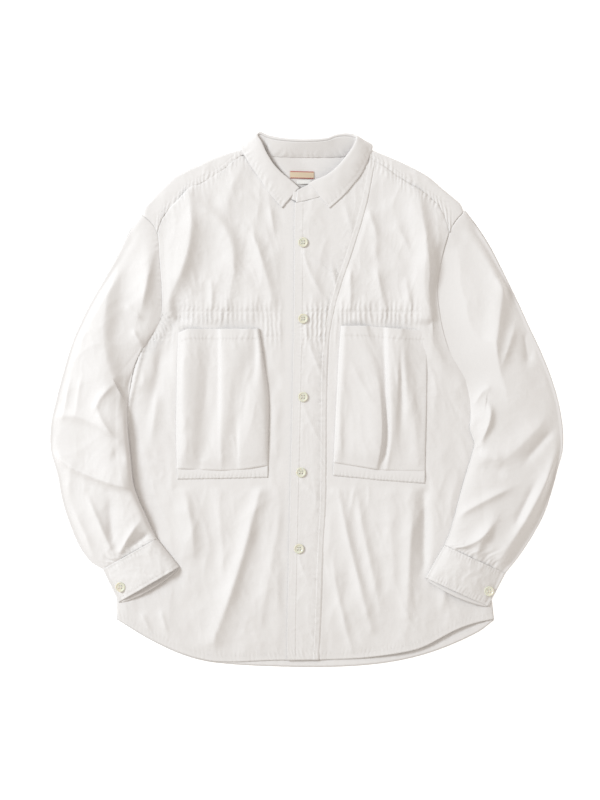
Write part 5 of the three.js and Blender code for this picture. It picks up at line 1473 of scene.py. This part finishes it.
# Across each bag at five heights: places x and how high the cloth stands there over the front
BAG_PLEATS = {
    "left": [
        (-104, (-193, 1.6), (-186, 3.4), (-174, 3.0), (-160, 1.2), (-153, 2.6), (-131, 3.4), (-126, 3.6),
         (-120, 2.6), (-104, 1.9), (-98, 3.2), (-82, 3.8), (-68, 3.4), (-60, 2.6), (-55, 1.6)),
        (-60, (-194, 1.8), (-184, 7.4), (-171, 7.0), (-156, 3.0), (-146, 2.2), (-133, 4.4), (-127, 6.0),
         (-121, 5.4), (-104, 3.2), (-99, 5.4), (-84, 6.2), (-70, 5.6), (-61, 4.4), (-56, 2.2)),
        (0, (-195, 1.8), (-184, 7.8), (-168, 6.6), (-152, 2.0), (-140, 1.6), (-130.5, 2.2), (-126.5, 6.0),
         (-116, 6.6), (-105, 4.6), (-94, 3.8), (-84, 6.4), (-72, 6.6), (-62, 5.0), (-56, 2.2)),
        (62, (-193, 1.8), (-181, 7.0), (-165, 5.4), (-148, 1.6), (-138, 1.2), (-130.5, 1.8), (-126.5, 5.8),
         (-112, 6.6), (-100, 6.0), (-88, 4.0), (-76, 2.6), (-70, 4.8), (-66, 4.6), (-63, 1.8)),
        (107, (-190, 1.2), (-178, 4.2), (-165, 3.6), (-150, 1.6), (-140, 1.4), (-132, 1.8), (-127.5, 3.8),
         (-112, 4.2), (-100, 3.8), (-88, 4.4), (-78, 3.2), (-73, 3.8), (-71, 3.4), (-69.5, 1.6)),
    ],
    "right": [
        (-108, (38, 1.4), (44, 3.4), (60, 3.0), (84, 3.8), (104, 4.4), (108.5, 2.0), (114, 1.6),
         (120, 3.0), (124, 2.2), (138, 1.6), (150, 1.8), (162, 1.8), (172, 1.8), (179, 1.2)),
        (-60, (41, 1.6), (47, 5.4), (58, 4.4), (84, 6.0), (113, 7.4), (117, 2.8), (121, 2.0),
         (126, 5.0), (131, 4.4), (141, 2.2), (153, 2.0), (164, 3.0), (171, 2.2), (179, 1.6)),
        (0, (44, 1.6), (50, 5.0), (60, 4.0), (84, 5.0), (111, 6.6), (116.5, 3.0), (119.5, 2.2),
         (125, 6.6), (134, 6.4), (143, 2.6), (151, 5.0), (158, 4.4), (166, 2.0), (180, 1.4)),
        (62, (48, 1.6), (54, 5.0), (64, 4.6), (84, 4.8), (100, 5.0), (112, 2.6), (118, 2.0),
         (122, 6.2), (138, 6.8), (141, 6.0), (147, 6.2), (156, 3.2), (168, 1.6), (181, 1.4)),
        (110, (51, 1.4), (58, 3.8), (66, 3.6), (82, 3.8), (90, 3.4), (96, 1.4), (116, 1.2),
         (121, 4.2), (134, 4.6), (144, 4.4), (148, 2.6), (156, 1.4), (168, 1.2), (181, 1.2)),
    ],
}


PLEAT_LEVEL = 3.6
PLEAT_SHARE = 1.5


def pleated(x, y, rows):
    """Height of pleated cloth whose profile is given at a few heights and changes smoothly between."""
    heights = [row[0] for row in rows]
    count = len(rows[0]) - 1
    places = np.stack([through(heights, [row[k + 1][0] for row in rows])(y) for k in range(count)])
    stands = np.stack([through(heights, [row[k + 1][1] for row in rows])(y) for k in range(count)])
    after, before = np.minimum(np.arange(count) + 1, count - 1), np.maximum(np.arange(count) - 1, 0)
    slopes = (stands[after] - stands[before]) / (places[after] - places[before])
    x = np.clip(x, places[0], places[-1])
    i = np.clip((x[None] >= places).sum(axis=0) - 1, 0, count - 2)[None]
    x0, x1 = np.take_along_axis(places, i, 0)[0], np.take_along_axis(places, i + 1, 0)[0]
    z0, z1 = np.take_along_axis(stands, i, 0)[0], np.take_along_axis(stands, i + 1, 0)[0]
    m0, m1 = np.take_along_axis(slopes, i, 0)[0], np.take_along_axis(slopes, i + 1, 0)[0]
    run = x1 - x0
    q = (x - x0) / run
    return (
        z0 * (2 * q**3 - 3 * q**2 + 1)
        + m0 * run * (q**3 - 2 * q**2 + q)
        + z1 * (3 * q**2 - 2 * q**3)
        + m1 * run * (q**3 - q**2)
    )


# Smaller folds on the bags, as on the fronts
BAG_FOLDS = {
    "left": [
        (-138, 96, -146, 40, -152, -20, 6, 6, -1.0, 1.5, 0.2, 0.2),
        (-72, 60, -92, 20, -96, -40, 7, 5, 1.6, 1.5, 0.2, 0.2),
        (-112, -50, -106, -66, -104, -92, 4, 3, 1.4, 1.4, 0, 0.3),
        (-187, -20, -180, -34, -186, -48, 4, 4, 1.2, 1.4, 0, 0),
        (-184, -52, -178, -66, -184, -84, 4, 4, 1.1, 1.4, 0, 0),
        (-176, 70, -184, 52, -182, 30, 5, 4, 0.9, 1.4, 0, 0),
        (-120, 94, -108, 86, -104, 70, 4, 3, 1.0, 1.4, 0.2, 0),
    ],
    "right": [
        (66, 62, 82, 26, 106, -12, 8, 5, 1.8, 1.4, 0.1, 0.3),
        (88, 100, 100, 72, 114, 44, 5, 4, -1.3, 1.5, 0.5, 0.3),
        (52, 40, 60, 0, 56, -40, 5, 4, 1.2, 1.4, 0, 0.1),
        (44, -36, 52, -60, 50, -88, 4, 4, 1.2, 1.4, 0, 0.1),
        (74, -40, 86, -66, 98, -92, 7, 6, 1.0, 1.5, 0, 0.1),
        (160, 10, 166, -20, 172, -50, 4, 4, 1.2, 1.4, 0.1, 0.1),
        (128, 60, 134, 20, 131, -24, 4, 4, -0.9, 1.5, 0, 0),
    ],
}


def pocket(hand, seed):
    left, right = pocket_left_side[hand], pocket_right_side[hand]
    bottom, top = pocket_bottom_edge[hand], pocket_top_edge[hand]
    wide = float(right(0) - left(0))
    inner_columns = spaced(0, 1, 1.8 / wide)
    edge_columns = np.array([0.0, 0.35, 1.1, 2.2]) / wide
    columns = np.concatenate([edge_columns, inner_columns[3:-3], 1 - edge_columns[::-1]])
    rows = np.concatenate([np.array([0, 0.35, 1.1, 2.2]) / 206, spaced(4.2 / 206, 1, 1.9 / 206)])
    share, up = np.meshgrid(columns, rows)
    y = mix(bottom(mix(left(-105), right(-105), share)), top(mix(left(105), right(105), share)), up)
    x = mix(left(y), right(y), share)
    off_side = np.minimum(share, 1 - share) * wide
    off_bottom = up * 206
    off_top = (1 - up) * 206
    off = np.minimum(off_side, off_bottom)
    edge_turn = np.clip(1 - (1 - np.minimum(off / 2.4, 1)) ** 2.2, 0, 1) ** 0.5
    low_end = mix(0.62, 1, soft_step(off_bottom, 0, 22))
    pleats = PLEAT_LEVEL + PLEAT_SHARE * (pleated(x, y, BAG_PLEATS[hand]) - PLEAT_LEVEL)
    stand = (1.0 + np.maximum(pleats, 0.3) * low_end) * edge_turn
    hem = 0.7 * (1 - soft_step(off_top, 14, 15.5)) + hem_ripples(x, off_top - 14, 6.5, 6, 0.4, seed)
    edge_sewing = hem_ripples(y, off_side - 3, 6, 4.5, 0.35, seed + 2)
    small = washed(x, y, seed + 4, 0.1, 2.2, 0.75)
    free = soft_step(off, 2, 12) * mix(0.35, 1, soft_step(off_top, 12, 26))
    creased = fold_field(x, y, BAG_FOLDS[hand]) + small
    relief = creased * free + (hem + edge_sewing) * soft_step(off, 1, 3)
    z = pocket_floor(x, y) + stand + relief
    z = np.maximum(z, pocket_floor(x, y) + POCKET_WALL * np.minimum(off, 1))
    under = np.maximum(z - POCKET_WALL, pocket_floor(x, y))
    centre_x, centre_y = x.mean(), y.mean()
    pull = np.where(off < 1.5, POCKET_WALL, 0)
    inside_x = x + pull * np.where(off_side < 1.5, np.sign(centre_x - x), 0)
    inside_y = y + pull * np.where(off_bottom < 1.5, np.sign(centre_y - y), 0)
    sew_up(
        f"{hand}_pocket",
        sheet_points(x, y, z),
        sheet_points(inside_x, inside_y, under),
        [f"pocket_{hand}"],
    )
    left_end, right_end = float(left(0)), float(right(0))
    stitched(
        f"{hand}_pocket",
        [
            level(top, left_end + 4, right_end - 4, -14.5),
            upright(left, -96, 96, 3),
            upright(right, -90, 96, -3),
            level(bottom, left_end + 4, right_end - 4, 3),
        ],
    )
    laid_sheet(f"{hand}_pocket")
    strip_share, strip_up = np.meshgrid(spaced(0, 1, 1.6 / wide), spaced(0, 1, 0.14))
    low_x = mix(left(-110), right(-110), strip_share)
    strip_y = mix(strip_edge[hand](low_x), bottom(low_x) + 6, strip_up)
    strip_x = mix(left(strip_y), right(strip_y), strip_share)
    puff = 1.2 * np.sin(np.pi * np.clip(strip_up * 1.1, 0, 1))
    puff += washed(strip_x, strip_y, seed + 9, 1.4, 2, 0.5)
    strip_z = pocket_floor(strip_x, strip_y) + 0.1 + puff * 0.7
    strip_z += hem_ripples(strip_x, strip_y - strip_edge[hand](strip_x) - 3, 6, 6, 0.4, seed + 12)
    sew_up(
        f"{hand}_pocket_gusset",
        sheet_points(strip_x, strip_y, strip_z),
        sheet_points(strip_x, strip_y, strip_z - WALL),
        [f"pocket_gusset_{hand}"],
    )
    strip = strip_edge[hand]
    stitched(f"{hand}_pocket_gusset", [level(strip, left_end + 3, right_end - 3, off) for off in (1.8, 5)])
    laid_sheet(f"{hand}_pocket_gusset")


pocket("left", 240)
pocket("right", 260)


# The neck label and size tab: a plain woven label in cream with a red stripe along both long
# edges, and a small white tab below it, both sewn flat to the inside of the yoke.
LABEL_STRIPE = 1.3


def striped(cloth, stripe, half_depth):
    """Colours both long edges of a tape whose middle lies half_depth from either."""
    tree = cloth.node_tree
    plain = tree.nodes["Principled BSDF"].inputs["Base Color"].links[0].from_socket
    uv = add_node(tree, "ShaderNodeUVMap", {}, uv_map="cloth").outputs["UV"]
    place = add_node(tree, "ShaderNodeSeparateXYZ", {"Vector": uv}).outputs["Y"]
    off = add_node(tree, "ShaderNodeMath", {0: place, 1: half_depth}, operation="SUBTRACT").outputs["Value"]
    off = add_node(tree, "ShaderNodeMath", {0: off}, operation="ABSOLUTE").outputs["Value"]
    edge = {0: off, 1: half_depth - LABEL_STRIPE / 1000}
    edge = add_node(tree, "ShaderNodeMath", edge, operation="GREATER_THAN").outputs["Value"]
    choose = {"Factor": edge, "A": plain, "B": (*stripe, 1)}
    colour_from(cloth, add_node(tree, "ShaderNodeMix", choose, data_type="RGBA").outputs["Result"])
    return cloth


def tape(name, node, centre_x, centre_y, width, depth, wall, material):
    across, up = np.meshgrid(spaced(-0.5, 0.5, 1 / 44), spaced(-0.5, 0.5, 1 / 16))
    x, y = centre_x + width * across, centre_y + depth * up
    bow = 0.35 * (1 - (2 * across) ** 2) + 0.15 * ripple_noise(x / 6, y / 6, 310)
    z = BACK_WALL + 0.35 + wall + bow + neck_rise(x, y)
    sew_up(name, sheet_points(x, y, z), sheet_points(x, y, z - wall), [node], material)


label_weave = cotton_cloth("cream_woven_label", (0.70, 0.58, 0.43), 0.3, 0.4)
label_weave = striped(label_weave, (0.45, 0.07, 0.05), 0.0055)
tape("neck_label_tape", "neck_label", -6, 337, 36, 11, 0.5, label_weave)
stitched("neck_label_tape", [[(-23.2, 341.8), (11.2, 341.8)], [(-23.2, 332.2), (11.2, 332.2)]])
laid_sheet("neck_label_tape")

# The tab is a short tape folded in half, with both ends caught in its sewing
tab_weave = cotton_cloth("white_tab", (0.82, 0.81, 0.79), 0.3, 0.4)
TAB_X, TAB_Y, TAB_WIDTH, TAB_DEPTH, TAB_WALL = -3, 326, 21, 6, 0.3
tab_turn = np.linspace(0, 1, 40)
tab_across, tab_way = np.meshgrid(spaced(-0.5, 0.5, 1 / 24), tab_turn)
turn_angle = np.pi * np.clip((tab_way - 0.46) / 0.08, 0, 1)
tab_run = np.where(tab_way < 0.46, tab_way / 0.46, np.where(tab_way > 0.54, (1 - tab_way) / 0.46, 1))
tab_y = TAB_Y + TAB_DEPTH / 2 - (TAB_DEPTH - 0.6) * tab_run - 0.55 * np.sin(turn_angle)
tab_middle = neck_rise(TAB_X, TAB_Y) + BACK_WALL + 1.25 + 0.5 * np.cos(turn_angle) * mix(0.7, 1, tab_run)
tab_x = TAB_X + TAB_WIDTH * tab_across
tab_sheet = sheet_points(tab_x, tab_y, tab_middle)
tab_normal = surface_normals(tab_sheet)
sew_up(
    "size_tab_tape",
    tab_sheet + tab_normal * TAB_WALL / 2,
    tab_sheet - tab_normal * TAB_WALL / 2,
    ["size_tab"],
    tab_weave,
)
laid_sheet("size_tab_tape")


# The buttons are turned from a cream plastic with a faint pearl. Each has a raised rim, a dished
# face and four holes, and is sewn on with two bars of white thread.
BUTTON_RADIUS = 7.5
BUTTON_HEIGHT = 2.6
BUTTON_HOLE = 0.95
HOLE_SPREAD = 1.75
THREAD_RADIUS = 0.4
FRONT_BUTTONS = [(-4.5, 235.5), (-4.5, 121.5), (-4.5, 4.5), (-7.5, -108), (-10.5, -222)]
CUFF_BUTTONS = {"left": (0.66, 0.13), "right": (0.62, 0.10)}

pearl, pearl_tree = new_material(
    "cream_button_plastic", roughness=0.32, coat_weight=0.25, subsurface_weight=0.08
)
spot = add_node(pearl_tree, "ShaderNodeTexCoord", {}).outputs["Object"]
marble = {"Vector": spot, "Scale": 260, "Detail": 3, "Distortion": 1.2}
marble = add_node(pearl_tree, "ShaderNodeTexNoise", marble).outputs["Fac"]
swirl = {"Factor": marble, "A": (0.70, 0.66, 0.53, 1), "B": (0.80, 0.77, 0.64, 1)}
colour_from(pearl, add_node(pearl_tree, "ShaderNodeMix", swirl, data_type="RGBA").outputs["Result"])


def turned(name, profile, sides):
    points, faces = [], []
    for radius, z in profile:
        for side in range(sides):
            angle = 2 * np.pi * side / sides
            points.append((radius * np.cos(angle), radius * np.sin(angle), z))
    for ring in range(len(profile) - 1):
        for side in range(sides):
            after = (side + 1) % sides
            low, high = ring * sides, (ring + 1) * sides
            faces.append((low + side, low + after, high + after, high + side))
    faces.append(tuple(range(sides))[::-1])
    faces.append(tuple(range((len(profile) - 1) * sides, len(profile) * sides)))
    mesh = bpy.data.meshes.new(name)
    mesh.from_pydata([tuple(np.array(point) / 1000) for point in points], [], faces)
    return bpy.data.objects.new(name, mesh)


r, h = BUTTON_RADIUS, BUTTON_HEIGHT
button_profile = [
    (r - 1.6, 0), (r - 0.5, 0.4), (r - 0.1, 1.0), (r, 1.5), (r - 0.2, 2.1), (r - 0.6, h - 0.12),
    (r - 1.1, h), (r - 1.6, h - 0.05), (r - 2.1, h - 0.4), (r - 2.7, h - 0.75), (r - 3.6, h - 0.9),
    (0.6, h - 0.95),
]
blank = turned("button_blank", button_profile, 40)
bpy.context.collection.objects.link(blank)
drills = []
for right, up in ((1, 1), (-1, 1), (-1, -1), (1, -1)):
    drill = turned("button_drill", [(BUTTON_HOLE, -1), (BUTTON_HOLE, 4)], 14)
    drill.location = (right * HOLE_SPREAD / 1000, up * HOLE_SPREAD / 1000, 0)
    bpy.context.collection.objects.link(drill)
    drills.append(drill)
    cut = blank.modifiers.new("hole", "BOOLEAN")
    cut.operation = "DIFFERENCE"
    cut.solver = "EXACT"
    cut.object = drill
bpy.context.view_layer.update()
holed = bpy.data.meshes.new_from_object(blank.evaluated_get(bpy.context.evaluated_depsgraph_get()))
blank.modifiers.clear()
for spare in (blank, *drills):
    bpy.data.objects.remove(spare)


def button_thread(button):
    """Two bars of thread that arch over a button from hole to hole."""
    corners = np.array([v.co for v in bpy.data.objects[button].data.vertices]) * 1000
    middle = (corners.min(axis=0) + corners.max(axis=0)) / 2
    sides = 8
    around = np.linspace(0, 2 * np.pi, sides, endpoint=False)
    points, faces = [], []
    for across in (-HOLE_SPREAD, HOLE_SPREAD):
        for angle in np.linspace(0, np.pi, 11):
            arch = np.array([0, np.cos(angle), np.sin(angle)])
            centre = np.array([middle[0] + across, middle[1], corners[:, 2].max() - 1.8])
            centre = centre + arch * (0, HOLE_SPREAD, 1.2)
            if angle > 0:
                ring = len(points)
                for side in range(sides):
                    after = (side + 1) % sides
                    faces.append((ring - sides + side, ring - sides + after, ring + after, ring + side))
            else:
                faces.append(tuple(range(len(points), len(points) + sides))[::-1])
            for turn in around:
                out = np.array([np.cos(turn), 0, 0]) + np.sin(turn) * arch
                points.append((centre + THREAD_RADIUS * out) / 1000)
        faces.append(tuple(range(len(points) - sides, len(points))))
    mesh = bpy.data.meshes.new(f"{button}_thread")
    mesh.from_pydata([tuple(point) for point in points], [], faces)
    mesh.materials.append(thread)
    bars = bpy.data.objects.new(mesh.name, mesh)
    bpy.context.collection.objects.link(bars)
    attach(bars, "root")


def sewn_button(name, node, x, y, z):
    mesh = holed.copy()
    mesh.name = name
    places = np.empty(len(mesh.vertices) * 3)
    mesh.vertices.foreach_get("co", places)
    places = places.reshape(-1, 3) + np.array([x, y, z]) / 1000
    mesh.vertices.foreach_set("co", places.ravel())
    mesh.materials.clear()
    mesh.materials.append(pearl)
    piece = bpy.data.objects.new(name, mesh)
    bpy.context.collection.objects.link(piece)
    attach(piece, "root")
    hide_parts(node)
    button_thread(name)


front_buttons = []
for number, (x, y) in enumerate(FRONT_BUTTONS, 1):
    near = np.array([-6.0, 0.0, 6.0])
    z = float(flap_top(*np.meshgrid(x + near, y + near)).max()) + 0.15
    front_buttons.append(f"front_button_{number}")
    sewn_button(front_buttons[-1], f"button_{number}", x, y, z)
laid_sheet("front_flap_cloth", front_buttons)
for hand, (along, across) in CUFF_BUTTONS.items():
    x, y = cuff_plan(hand, along, across)
    z = float(sleeve_rest(x, y, 1)) + CUFF_HEIGHT * float(tube_profile(across + 0.08)) + 0.5
    sewn_button(f"{hand}_cuff_button", f"cuff_button_{hand}", x, y, float(z))
    laid_sheet(f"{hand}_cuff", [f"{hand}_cuff_button"])
